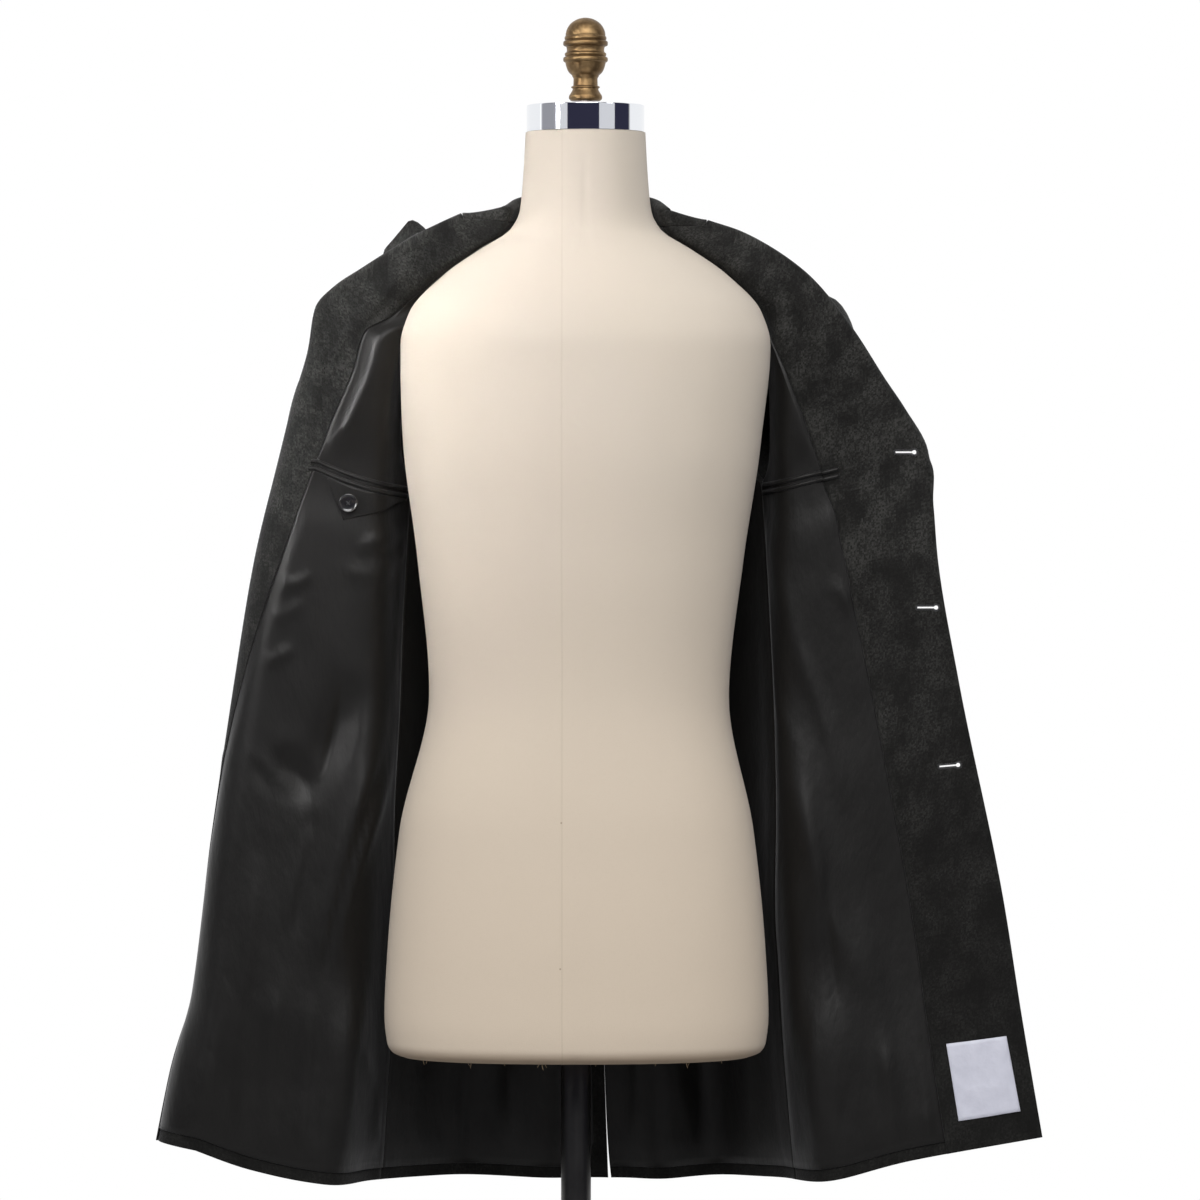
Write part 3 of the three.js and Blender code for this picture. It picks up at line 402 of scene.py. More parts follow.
def turned(centre, profile, segments=96):
    """A piece turned about an upright axis: one ring drawn out step by step, then closed."""
    radius, height = profile[0]
    bpy.ops.object.select_all(action="DESELECT")
    bpy.ops.mesh.primitive_circle_add(vertices=segments, radius=radius, location=(*centre, height))
    piece = bpy.context.object
    bpy.ops.object.mode_set(mode="EDIT")
    bpy.ops.mesh.select_all(action="SELECT")
    for next_radius, next_height in profile[1:]:
        bpy.ops.mesh.extrude_edges_move(TRANSFORM_OT_translate={"value": (0, 0, next_height - height)})
        size = next_radius / radius
        bpy.ops.transform.resize(value=(size, size, 1), center_override=(*centre, next_height))
        radius, height = next_radius, next_height
    bpy.ops.mesh.edge_face_add()
    settle(piece)
    foot = profile[0][1]
    pick(piece, "VERT", lambda vertex: abs(vertex.co.z - foot) < 1e-6)
    bpy.ops.mesh.edge_face_add()
    face_outward(piece)
    return piece


def rounded_profile(corners, steps=5):
    """Rounds the marked corners of a profile: each is radius, height and how much to round."""
    points = []
    for i, (r, z, ease) in enumerate(corners):
        if ease == 0 or i in (0, len(corners) - 1):
            points.append((r, z))
            continue
        here = Vector((r, z))
        before = (Vector(corners[i - 1][:2]) - here)
        after = (Vector(corners[i + 1][:2]) - here)
        start = here + before.normalized() * min(ease, before.length * 0.49)
        end = here + after.normalized() * min(ease, after.length * 0.49)
        for k in range(steps + 1):
            t = k / steps
            points.append(tuple(start * (1 - t) ** 2 + here * (2 * t * (1 - t)) + end * t ** 2))
    return points


# ------------------------------------------------------------------ the coat's sizes, in millimetres
def mix(a, b, t):
    return a + (b - a) * t


def held_in(value, low, high):
    return min(max(value, low), high)


def rise(value, low, high):
    """0 up to low, then evenly up to 1 at high."""
    return np.clip((value - low) / (high - low), 0, 1)


def eased(share):
    return share * share * (3 - 2 * share)


def unit(vectors):
    return vectors / np.linalg.norm(vectors, axis=-1, keepdims=True)


def smooth_table(columns, rows):
    """A table with named columns, read smoothly by its first column."""
    rows = np.array(rows, float)
    keys = rows[:, 0]

    def read(name, key):
        column = rows[:, columns.index(name)]
        chord = np.diff(column) / np.diff(keys)
        before, after = chord[:-1], chord[1:]
        same = before * after > 0
        middle = np.where(same, 2 * before * after / np.where(same, before + after, 1), 0)
        slope = np.concatenate([chord[:1], middle, chord[-1:]])
        place = np.clip(key, keys[0], keys[-1])
        i = np.clip(np.searchsorted(keys, place, side="left") - 1, 0, len(keys) - 2)
        span = keys[i + 1] - keys[i]
        t = (place - keys[i]) / span
        rise = column[i + 1] - column[i]
        start, end = slope[i] * span, slope[i + 1] * span
        return column[i] + t * (start + t * (3 * rise - 2 * start - end + t * (start + end - 2 * rise)))
    return read


SEAM_GAP = 0.3
SEWN_GAP = 0.03
WOOL_THICK = 1.9
LINING_THICK = 1.0
LAYER_GAP = 0.2
NECK_HEIGHT = 1420
BACK_LENGTH = 970
BACK_SEAM_AT_NECK = 9.5
BACK_SEAM_DRIFT = 23
ARMHOLE_TOP, ARMHOLE_BOTTOM, ARMHOLE_HALF = 0.125, 0.3, 31
ARMHOLE_REACH = (ARMHOLE_BOTTOM - ARMHOLE_TOP) / 2
HEM_SHOW = 12
VENT_TOP, VENT_OPENING, VENT_SPREAD = 0.72, 3, 9
LEAST_LINING, LEAST_FACING, LEAST_ROLL, LEAST_TURNED = 14, 10, 12, 10
FORM_FOOT, FORM_TOP = 592, 1514.7
ROLL_STEPS, LAID_STEP = 24, 2.0
ROW_STEPS = 160
ROWS = 21
CELLS = {"back": 7, "lining": 6, "facing": 3, "roll": 4, "turned": 3}
FINE_ROWS, FINE_COLUMNS = 9, 8
SIDES = {"left": -1, "right": 1}

form = smooth_table(["height", "half", "deep", "square", "centre", "middle"], [
    [592, 174, 102, 2.3, 0, 0],
    [596, 184, 111, 2.3, 0.5, 0],
    [604, 189, 115, 2.3, 0.5, 0],
    [632, 192, 117, 2.3, 0.5, 0],
    [690, 189.5, 117, 2.3, 0.5, 0],
    [817, 177, 112, 2.3, 0.5, 0],
    [952, 150, 103, 2.2, 3, 2],
    [1087, 163, 113, 2.2, 4.5, 0],
    [1205, 179, 122, 2.3, 6, 0],
    [1302, 185, 118, 2.3, 9.5, 0],
    [1335, 176, 110, 2.3, 9.5, 2],
    [1373, 141, 93, 2.2, 9.5, 5],
    [1399, 104, 77, 2.1, 9.5, 7],
    [1417, 76, 67, 2, 9.5, 8],
    [1436, 66, 63, 2, 9.5, 8],
    [1477, 62, 60, 2, 9.5, 8],
    [1514.7, 60, 59, 2, 9.5, 8],
])
wrap = smooth_table(["height", "half", "deep", "square", "middle", "wing", "soft"], [
    [450, 226, 166, 2.6, 0, 4, 60],
    [632, 212, 154, 2.5, 0, 12, 52],
    [800, 203, 146, 2.4, 0, 20, 44],
    [950, 200, 143, 2.3, 0, 26, 36],
    [1150, 199, 140, 2.3, 0, 26, 26],
    [1250, 197, 134, 2.3, 0, 22, 24],
    [1302, 190.5, 123.5, 2.3, 0, 18, 22],
    [1335, 182, 116, 2.3, 2, 14, 32],
    [1373, 146.5, 98.5, 2.2, 5, 9, 16],
    [1399, 109, 82, 2.1, 7, 5, 8],
    [1417, 80, 71, 2, 8, 2, 6],
    [1436, 72, 68, 2, 8, 0, 6],
    [1460, 70, 66, 2, 8, -1, 6],
])
WING_COLUMNS = ["down", "out", "height", "roll", "turned", "seam", "standing"]
wings = {
    "right": smooth_table(WING_COLUMNS, [
        [0, 131, 1425, 4, 54, -50, 0],
        [0.036, 166, 1413, 4, 90, -62, 0],
        [0.107, 227, 1375, 4.5, 76, -72, 0],
        [0.169, 273, 1322, 5, 62, -74, 0],
        [0.234, 309, 1267, 7, 46, -82, 0],
        [0.275, 330, 1236, 9, 34, -90, 0],
        [0.315, 352, 1196, 10, 20, -98, 0],
        [0.37, 359, 1141, 11, 0, -98, 0],
        [0.419, 363, 1091, 12, 0, -92, 0],
        [0.543, 384, 967, 14, 0, -88, 0],
        [0.76, 428, 750, 14, 0, -93, 0],
        [0.882, 447, 628, 14, 0, -95, 0],
        [1, 467, 509, 14, 0, -97, 0],
    ]),
    "left": smooth_table(WING_COLUMNS, [
        [0, -114, 1432, 4, 54, -50, 0],
        [0.023, -136, 1422, 4, 72, -56, 0],
        [0.05, -160, 1410, 4, 56, -60, 84],
        [0.08, -187, 1394, 5, 50, -62, 80],
        [0.111, -214, 1377, 5, 54, -62, 20],
        [0.143, -241, 1359, 7, 51, -59, 0],
        [0.171, -260, 1338, 10, 56, -44, 0],
        [0.214, -268, 1295, 16, 70, -32, 0],
        [0.267, -284, 1243, 26, 82, -16, 0],
        [0.302, -293, 1208, 34, 94, -4, 0],
        [0.423, -323, 1087, 38, 98, 13, 0],
        [0.543, -343, 966, 38, 118, 34, 0],
        [0.71, -368, 796, 38, 142, 60, 0],
        [0.856, -386, 647, 38, 148, 66, 0],
        [0.936, -406, 567, 38, 144, 62, 0],
        [1, -419, 503, 38, 140, 58, 0],
    ]),
}
# How the hem rises across each half, from the centre back to the wing's edge.
hem_rise = {
    "left": smooth_table(["across", "rise"], [[0, 0], [0.52, 0.1], [0.72, 0.29], [0.86, 0.53], [1, 1]]),
    "right": smooth_table(["across", "rise"], [[0, 0], [0.24, 0.04], [0.48, 0.22], [0.7, 0.6], [1, 1]]),
}
side_seam = smooth_table(["down", "cloth"], [
    [0, 100], [0.06, 150], [0.13, 200], [0.2, 186], [0.3, 200], [0.5, 220], [1, 262]])

# Folds that both the wool and the lining follow: top, foot, half width, and how proud.
# One that ends below this height runs out over the hem.
HEM_FOLD_FOOT = 460
FOLDS = [
    (-172, 1040, -258, 650, 26, 9),
    (-222, 980, -258, 850, 18, -9),
    (-304, 900, -252, 838, 14, -7),
    (-205, 700, -236, 452, 34, 12),
    (-300, 640, -330, 452, 34, -10),
    (-90, 900, -120, 440, 40, -16),
    (-20, 900, -30, 440, 34, 14),
    (205, 980, 250, 640, 26, 8),
    (230, 700, 262, 452, 36, 11),
    (300, 900, 345, 500, 34, -7),
    (120, 900, 150, 440, 34, -24),
    (70, 900, 85, 440, 28, 18),
]


def beside_line(x, z, top_x, top_z, foot_x, foot_z):
    """How far along a line each place lies, as a share of it, and how far to its side."""
    along_x, along_z = foot_x - top_x, foot_z - top_z
    length = math.hypot(along_x, along_z)
    along = ((x - top_x) * along_x + (z - top_z) * along_z) / length ** 2
    return along, ((x - top_x) * along_z - (z - top_z) * along_x) / length


def fold_relief(x, z):
    proud = 0 * x
    for *line, half, height in FOLDS:
        along, aside = beside_line(x, z, *line)
        foot_fade = 1 if line[-1] < HEM_FOLD_FOOT else np.clip((1 - along) * 2.2, 0, 1)
        fade = np.clip(along * 2.2, 0, 1) * foot_fade
        proud = proud + height * eased(fade) * np.exp(-((aside / half) ** 2))
    return proud


def rounded_depth(share, square):
    side = 0.97
    inside = np.minimum(share, side)
    rest = 1 - inside ** square
    steep = inside ** (square - 1) * rest ** (1 / square - 1)
    return rest ** (1 / square) - steep * (share - inside)


def sheet_depth(x, z):
    share = np.abs(x - form("centre", z)) / wrap("half", z)
    back = wrap("middle", z) + wrap("deep", z) * rounded_depth(share, wrap("square", z))
    wing, soft = wrap("wing", z), wrap("soft", z)
    return (back + wing + np.hypot(back - wing, soft)) / 2 - fold_relief(x, z)


def on_sheet(x, z):
    x, z = np.broadcast_arrays(np.asarray(x, float), np.asarray(z, float))
    return np.stack([x, sheet_depth(x, z), z], axis=-1)


def sheet_normal(x, z):
    slope_x = (sheet_depth(x + 1, z) - sheet_depth(x - 1, z)) / 2
    slope_z = (sheet_depth(x, z + 1) - sheet_depth(x, z - 1)) / 2
    return unit(np.stack([-slope_x, np.ones_like(slope_x), -slope_z], axis=-1))


def lengths_along(points):
    return np.concatenate([[0], np.cumsum(np.linalg.norm(np.diff(points, axis=0), axis=1))])


def read_path(points, places):
    lengths = lengths_along(points)
    return np.stack([np.interp(places, lengths, points[:, axis]) for axis in range(3)], axis=-1)


def turn_about(vectors, hinge, angle):
    """Vectors turned about a hinge of length 1."""
    across = np.cross(hinge, vectors)
    upright = (vectors @ hinge)[..., None] * hinge
    return upright + (vectors - upright) * math.cos(angle) + across * math.sin(angle)


def turn_back(place, inward, roll, turned_cloth, standing=0.0):
    """Cloth rolled back from a place on the sheet and laid behind it, or left standing off it."""
    x, z = place
    start = on_sheet(x, z)
    normal = sheet_normal(np.array(x), np.array(z))
    outward = unit(start - on_sheet(x + inward[0], z + inward[1]))
    hinge = unit(np.cross(outward, normal))
    stand = math.radians(standing)
    flat_end = start + normal * 2 * roll
    roll_end = start + outward * roll * math.sin(stand) + normal * roll * (1 + math.cos(stand))
    angle = (np.pi - stand) * np.arange(1, ROLL_STEPS + 1)[:, None] / ROLL_STEPS
    rolled = start + outward * roll * np.sin(angle) + normal * roll * (1 - np.cos(angle))
    away = np.arange(LAID_STEP, turned_cloth + 3, LAID_STEP)
    laid_x, laid_z = x + inward[0] * away, z + inward[1] * away
    laid = on_sheet(laid_x, laid_z) + sheet_normal(laid_x, laid_z) * 2 * roll
    laid = turn_about(laid - flat_end, hinge, -stand) + roll_end
    points = np.vstack([start[None], rolled, laid])
    lengths = lengths_along(points)
    places = np.append(lengths[lengths < turned_cloth], turned_cloth)
    return read_path(points, places)[1:]


def wing_edge(side, down):
    wing, reach = wings[side], 0.004
    low, high = max(down - reach, 0), min(down + reach, 1)
    along_x, along_z = (wing(name, high) - wing(name, low) for name in ("out", "height"))
    length = math.hypot(along_x, along_z) * SIDES[side]
    inward = (along_z / length, -along_x / length)
    roll, turned_cloth, standing = wing("roll", down), wing("turned", down), wing("standing", down)
    inset = roll * held_in(turned_cloth / (roll * 1.6), 0, 1)
    place = (wing("out", down) + inward[0] * inset, wing("height", down) + inward[1] * inset)
    return place, inward, roll, turned_cloth, standing


def cloth_row(side, down):
    """One row of cloth from the centre back out to the wing's edge and back behind it."""
    place, inward, roll, turned_cloth, standing = wing_edge(side, down)
    seam_x = BACK_SEAM_AT_NECK + BACK_SEAM_DRIFT * down ** 1.5
    seam_z = NECK_HEIGHT - BACK_LENGTH * down
    t = np.linspace(0, 1, ROW_STEPS + 1)
    up = mix(t, hem_rise[side]("rise", t), down)
    points = on_sheet(mix(seam_x, place[0], t), mix(seam_z, place[1], up))
    flat = lengths_along(points)[-1]
    if turned_cloth > 0:
        points = np.vstack([points, turn_back(place, inward, roll, turned_cloth, standing)])
    return points, flat, roll


def column_places(side, down, flat, roll, edge):
    """Where each column lies in a row: the back, the lining, the facing, its roll, and behind it."""
    facing_start = flat + wings[side]("seam", down)
    opened = (down - (ARMHOLE_TOP + ARMHOLE_BOTTOM) / 2) / ARMHOLE_REACH
    armhole = ARMHOLE_HALF * math.sqrt(max(0, 1 - opened ** 2))
    seam = min(side_seam("cloth", down), facing_start - LEAST_LINING - armhole)
    roll_start = held_in(flat, facing_start + LEAST_FACING, edge - 30)
    roll_end = held_in(flat + math.pi * roll, roll_start + LEAST_ROLL, edge - LEAST_TURNED)
    parted = held_in((down - VENT_TOP) / (1 - VENT_TOP), 0, 1) ** VENT_SPREAD
    vent = VENT_OPENING * parted if side == "right" else 0
    sewn = SEWN_GAP / 2
    runs = [("back", sewn + vent, seam - armhole - sewn),
            ("lining", seam + armhole + sewn, facing_start - sewn),
            ("facing", facing_start + sewn, roll_start), ("roll", roll_start, roll_end),
            ("turned", roll_end, edge)]
    return np.concatenate([
        np.linspace(start, end, CELLS[name] * FINE_COLUMNS + 1)[1 if name in ("roll", "turned") else 0:]
        for name, start, end in runs])


BACK_END = CELLS["back"] * FINE_COLUMNS
LINING_END = BACK_END + 1 + CELLS["lining"] * FINE_COLUMNS
FACING_START = LINING_END + 1
EDGE = FACING_START + (CELLS["facing"] + CELLS["roll"] + CELLS["turned"]) * FINE_COLUMNS


def row_down(r):
    """How far down the coat a row lies: closer together at the top, the last one at the hem."""
    lining_end = 1 - HEM_SHOW / BACK_LENGTH
    if r > ROWS - 1:
        return mix(lining_end, 1, r - (ROWS - 1))
    share = r / (ROWS - 1)
    return max(lining_end * mix(share, share ** 2, 0.55), SEWN_GAP / BACK_LENGTH)


def grid_normals(points, picked=None, facing=None, sign=1):
    """The cloth's outer side at each point of a grid."""
    normals = unit(np.cross(np.gradient(points, axis=1), np.gradient(points, axis=0)))
    return normals * (sign if picked is None else np.sign(np.dot(normals[picked], facing)))


def half_sheet(side):
    """The grid of one half of the coat: points, normals, and the cloth's own metres."""
    points, cloth = [], []
    downs = [row_down(k / FINE_ROWS) for k in range(ROWS * FINE_ROWS + 1)]
    for down in downs:
        row, flat, roll = cloth_row(side, down)
        places = column_places(side, down, flat, roll, lengths_along(row)[-1])
        points.append(read_path(row, places))
        cloth.append(np.stack([places * SIDES[side], np.full(len(places), -down * BACK_LENGTH)], axis=-1))
    points, cloth = np.array(points), np.array(cloth)
    blocks = [slice(0, BACK_END + 1), slice(BACK_END + 1, LINING_END + 1), slice(FACING_START, EDGE + 1)]
    outer_side = np.sign(np.cross(points[-1, 1] - points[-1, 0], points[-1, 0] - points[-2, 0])[1])
    normals = np.concatenate([grid_normals(points[:, block], sign=outer_side) for block in blocks], axis=1)
    normals[:, 0, 0] = 0
    normals[0, :FACING_START + CELLS["facing"] * FINE_COLUMNS, 2] = 0
    for c in (BACK_END, LINING_END):
        close = np.linalg.norm(points[:, c + 1] - points[:, c], axis=1) < 4 * SEWN_GAP
        both = normals[:, c] + normals[:, c + 1]
        normals[close, c] = normals[close, c + 1] = both[close]
    return {"points": points, "normals": unit(normals), "cloth": cloth * MM}


sheet = {side: half_sheet(side) for side in SIDES}

# ------------------------------------------------------------------ creases
# Creases in the lining alone: top, foot, sideways bow, half width, and how proud of the wool.
LINING_CREASES = {
    "left": [
        (-232, 974, -259, 852, -2, 4, -3.0),
        (-240, 972, -267, 856, -2, 5, 0.6),
        (-335, 906, -270, 850, 4, 6, 0.9),
        (-338, 894, -276, 838, 4, 7, -0.8),
        (-264, 852, -266, 806, 1, 4, -1.6),
        (-184, 1010, -194, 900, 2, 7, 0.8),
        (-198, 912, -267, 655, 3, 5, 4.6),
        (-190, 908, -259, 657, 3, 4, -3.0),
        (-182, 904, -251, 660, 3, 5, 4.0),
        (-259, 824, -283, 704, 2, 5, -2.6),
        (-268, 820, -292, 706, 2, 6, 1.8),
        (-216, 594, -204, 554, 3, 6, 2.2),
        (-330, 1010, -352, 860, 4, 8, 1.6),
        (-226, 1100, -172, 1126, 6, 6, 2.6),
        (-214, 1078, -168, 1108, 7, 5, 2.4),
        (-240, 1080, -176, 1082, 9, 6, 1.8),
        (-302, 1062, -262, 1074, 4, 6, 2.4),
        (-312, 1030, -270, 1046, 4, 5, 1.6),
        (-320, 984, -280, 1002, 4, 6, 2.2),
        (-190, 1330, -205, 1190, 4, 12, 2.2),
        (-175, 1262, -186, 1180, -4, 7, 1.6),
        (-214, 690, -232, 480, 6, 8, 3.4),
        (-250, 650, -262, 470, 4, 6, -2.6),
        (-268, 660, -280, 475, -4, 7, 2.6),
        (-292, 690, -312, 475, 5, 8, 3.0),
        (-318, 700, -340, 480, 4, 7, -2.2),
        (-346, 720, -378, 490, 4, 9, 2.8),
        (-322, 800, -344, 600, -6, 10, 2.2),
        (-364, 600, -340, 520, 5, 9, 2.0),
        (-196, 560, -206, 472, 3, 7, 2.6),
    ],
    "right": [
        (196, 1136, 246, 930, 8, 9, 1.8),
        (186, 1072, 226, 880, 8, 8, 1.4),
        (214, 1030, 274, 800, -8, 9, 1.9),
        (222, 880, 292, 640, 10, 11, 3.6),
        (206, 830, 224, 560, -6, 9, 3.0),
        (250, 800, 268, 600, 5, 7, -2.4),
        (284, 760, 330, 520, 6, 11, 3.0),
        (238, 640, 250, 478, 5, 9, 3.0),
        (300, 620, 318, 480, -4, 9, 2.6),
        (204, 1210, 232, 1150, 5, 8, 1.8),
        (250, 1070, 290, 1010, -6, 7, 1.6),
        (268, 560, 280, 478, 4, 7, -2.0),
        (346, 600, 352, 480, -3, 8, 1.8),
    ],
    "back": [
        (-150, 720, -168, 470, 6, 12, 3.2),
        (-112, 640, -128, 472, 5, 9, 2.6),
        (-64, 600, -60, 474, 4, 10, 2.8),
        (64, 620, 58, 474, -4, 9, 2.4),
        (106, 640, 118, 472, 5, 10, 2.8),
        (160, 700, 178, 474, -5, 12, 3.2),
        (-160, 900, -150, 700, 5, 9, 2.2),
        (150, 920, 166, 720, 5, 9, 2.2),
    ],
}


def crease_height(points, creases):
    """How far soft, uneven ridges and troughs lift the cloth at each point."""
    x, z = points[..., 0], points[..., 2]
    height = 0 * x
    for i, (*line, bow, half, proud) in enumerate(creases):
        along, aside = beside_line(x, z, *line)
        aside = aside - bow * np.sin(np.pi * np.clip(along, 0, 1)) - 0.12 * bow * np.sin(9 * along + i)
        width = half * (0.75 + 0.35 * np.sin(2.2 * along + 1.7 * i) ** 2)
        fade = np.clip(along * 3, 0, 1) * np.clip((1 - along) * 3, 0, 1)
        uneven = 1 + 0.22 * np.sin(7 * along + 2.3 * i)
        height = height + proud * uneven * eased(fade) * np.exp(-((aside / width) ** 2))
    return height


def edge_fade(shape, rows=3, columns=4):
    """1 inside a grid, falling to 0 at its edges, which are sewn down."""
    r = np.arange(shape[0])[:, None]
    c = np.arange(shape[1])[None]
    fade = np.ones(shape[:2])
    for place, reach in ((r, rows), (shape[0] - 1 - r, rows), (c, columns), (shape[1] - 1 - c, columns)):
        fade = fade * eased(rise(place, 0, reach))
    return fade


# ------------------------------------------------------------------ cloth walls
EDGE_ROUNDING = 0.33
LEAST_FLAT = 0.0102


def cloth_wall(name, near, far, cloth, material, slot, replaces, held="hung", rests_on=()):
    """A thin closed wall of cloth between two grids, its cut edges rounded over."""
    near, far = np.array(near), np.array(far)
    rows, columns = near.shape[:2]
    middle = (near + far) / 2
    thick = np.linalg.norm(near - far, axis=-1).mean()
    rim = [(0, c) for c in range(columns - 1)] + [(r, columns - 1) for r in range(rows - 1)] \
        + [(rows - 1, c) for c in range(columns - 1, 0, -1)] + [(r, 0) for r in range(rows - 1, 0, -1)]
    rounded = [near.copy(), far.copy()]
    for r, c in rim:
        inner = middle[held_in(r, 1, rows - 2), held_in(c, 1, columns - 2)]
        reach = np.linalg.norm(inner - middle[r, c])
        pull = (inner - middle[r, c]) * min(EDGE_ROUNDING * thick / reach, 0.3)
        for layer, flat in zip(rounded, (near, far)):
            layer[r, c] = flat[r, c] + pull
    index = np.arange(rows * columns).reshape(rows, columns)
    count = rows * columns
    quads = np.stack([index[:-1, :-1], index[:-1, 1:], index[1:, 1:], index[1:, :-1]], axis=-1)
    quads = quads.reshape(-1, 4)
    edge = [index[r, c] for r, c in rim]
    faces = [tuple(q) for q in quads] + [tuple(q[::-1] + count) for q in quads]
    points = [*rounded[0].reshape(-1, 3), *rounded[1].reshape(-1, 3), *(middle[r, c] for r, c in rim)]
    for i, here in enumerate(edge):
        after = (i + 1) % len(edge)
        mid, mid_after = 2 * count + i, 2 * count + after
        faces.append((here, mid, mid_after, edge[after]))
        faces.append((mid, here + count, edge[after] + count, mid_after))
    mesh = bpy.data.meshes.new(name)
    mesh.from_pydata([tuple(p * MM) for p in points], [], [tuple(int(i) for i in f) for f in faces])
    flat_cloth = cloth.reshape(-1, 2)
    spread = np.concatenate([flat_cloth, flat_cloth, flat_cloth[edge]])
    layer = mesh.uv_layers.new(name="cloth")
    corners = np.empty(len(mesh.loops), int)
    mesh.loops.foreach_get("vertex_index", corners)
    layer.data.foreach_set("uv", spread[corners].ravel())
    piece = new_object(name, mesh)
    face_outward(piece)
    bpy.ops.object.shade_smooth()
    finish_piece(piece, name, material, replaces)
    widths = [lengths_along(row)[-1] for row in middle]
    lengths = [lengths_along(middle[:, c])[-1] for c in range(columns)]
    sides = np.cross(middle[1:, :-1] - middle[:-1, 1:], middle[:-1, :-1] - middle[1:, 1:])
    area = np.linalg.norm(sides, axis=-1).sum() / 2 * MM * MM
    flat = (max(max(widths) * MM, LEAST_FLAT), max(max(lengths) * MM, LEAST_FLAT))
    min(area, flat[0] * flat[1])
    return piece


def panel(side, name, columns, layer, stuff, lift=0, rows=slice(None), rests_on=()):
    """One panel of the coat: some columns of a half sheet, laid off it and lifted by any creases."""
    points, normals, cloth = (sheet[side][kind][rows, columns] for kind in ("points", "normals", "cloth"))
    away = math.copysign(1, layer[1]) * np.broadcast_to(lift, points.shape[:2])[..., None]
    near, far = (points + normals * (face + away) for face in layer)
    return cloth_wall(f"coat_{name}_{side}", near, far, cloth, *stuff, [f"{name}_{side}"],
                      rests_on=rests_on)


WOOL_STUFF, LINING_STUFF = (WOOL, "wool"), (LINING, "lining")
OUTER_WOOL = (LAYER_GAP, LAYER_GAP + WOOL_THICK)
INNER_WOOL = (-LAYER_GAP, -LAYER_GAP - WOOL_THICK)
INNER_LINING = (-LAYER_GAP, -LAYER_GAP - LINING_THICK)
BACK = slice(0, BACK_END + 1)
LINING_FRONT = slice(BACK_END + 1, LINING_END + 1)
FACING = slice(FACING_START, EDGE + 1)
FRONT = [c for c in range(BACK_END + 1, EDGE + 1) if c != FACING_START]
LINING_ROWS = slice(0, (ROWS - 1) * FINE_ROWS + 1)

# Soft folds in the wool facing where it bends towards the collar.
FACING_CREASES = {
    "left": [(-148, 1400, -236, 1290, 5, 8, 2.6), (-176, 1392, -254, 1262, 8, 7, 2.2),
             (-170, 1372, -232, 1276, 4, 5, -1.6), (-228, 1350, -266, 1216, 7, 7, 1.8)],
    "right": [(168, 1396, 238, 1276, 9, 11, 3.4), (196, 1392, 262, 1262, 9, 8, -1.8),
              (226, 1366, 286, 1236, 8, 9, 2.0), (236, 1290, 262, 1206, 3, 8, 1.6)],
}
# The lining's fullness beside its seam to the facing: from, to, how proud, its rise and its fall.
SEAM_FULLNESS = {"left": (1190, 1362, 8.5, 19, 34), "right": (1100, 1320, 0.3, 9, 16)}
# Where the lining lies flat under the pockets: its height, its slant, and half its reach.
POCKET_LEVEL, POCKET_SLANT, POCKET_REACH = 1160, 0.28, 38
LINING_PUFF = 2.0


def seam_fullness(points, cloth, side):
    """The lining stands up along the seam, where it is eased onto the facing."""
    low, high, proud, reach, fall = SEAM_FULLNESS[side]
    away = abs(cloth[:, -1:, 0] - cloth[..., 0]) / MM
    height = points[..., 2]
    span = rise(height, low, low + 30) * rise(-height, -high, 24 - high)
    return proud * span * eased(rise(away, 0, reach)) * np.exp(-((away / fall) ** 2)) * 1.5


def pocket_calm(points):
    """Keeps the lining flat where the pocket's welts and tab are sewn to it."""
    level = POCKET_LEVEL + POCKET_SLANT * (abs(points[..., 0]) - 215)
    return 1 - np.exp(-(((points[..., 2] - level) / POCKET_REACH) ** 4))


def lining_lift(points, creases, low, high):
    """The lining's puff and creases, dying away between two heights and at the sewn edges."""
    puff = np.maximum(LINING_PUFF + crease_height(points, creases), 0)
    return puff * edge_fade(points.shape) * rise(-points[..., 2], -high, -low)


fronts = {}
for side in SIDES:
    panel(side, "back", BACK, OUTER_WOOL, WOOL_STUFF, rests_on=["form_cover"])
    points = sheet[side]["points"][LINING_ROWS, BACK]
    lift = lining_lift(points, LINING_CREASES["back"], 980, 1180)
    panel(side, "lining_back", BACK, INNER_LINING, LINING_STUFF, lift, LINING_ROWS, rests_on=["form_cover"])
    points, cloth = (sheet[side][kind][LINING_ROWS, LINING_FRONT] for kind in ("points", "cloth"))
    lift = lining_lift(points, LINING_CREASES[side], 1310, 1370) + seam_fullness(points, cloth, side)
    lift = lift * pocket_calm(points)
    panel(side, "lining_front", LINING_FRONT, INNER_LINING, LINING_STUFF, lift, LINING_ROWS)
    front = panel(side, "front", FRONT, OUTER_WOOL, WOOL_STUFF)
    points = sheet[side]["points"][:, FACING]
    lift = crease_height(points, FACING_CREASES[side]) * edge_fade(points.shape, columns=6)
    fronts[side] = front, panel(side, "facing", FACING, INNER_WOOL, WOOL_STUFF, lift)

# ------------------------------------------------------------------ collar
COLLAR_STEPS = 45
COLLAR_ROLL = 4
STAND_STEPS, FOLD_STEPS, LEAF_STEPS = 6, 12, 16
collar_fold = smooth_table(["share", "height", "lean", "leaf"], [
    [0, 1449, 0, 66],
    [0.35, 1448, 2, 66],
    [0.62, 1443, 5, 70],
    [0.9, 1432, 2, 88],
    [1, 1426, 0, 62],
])


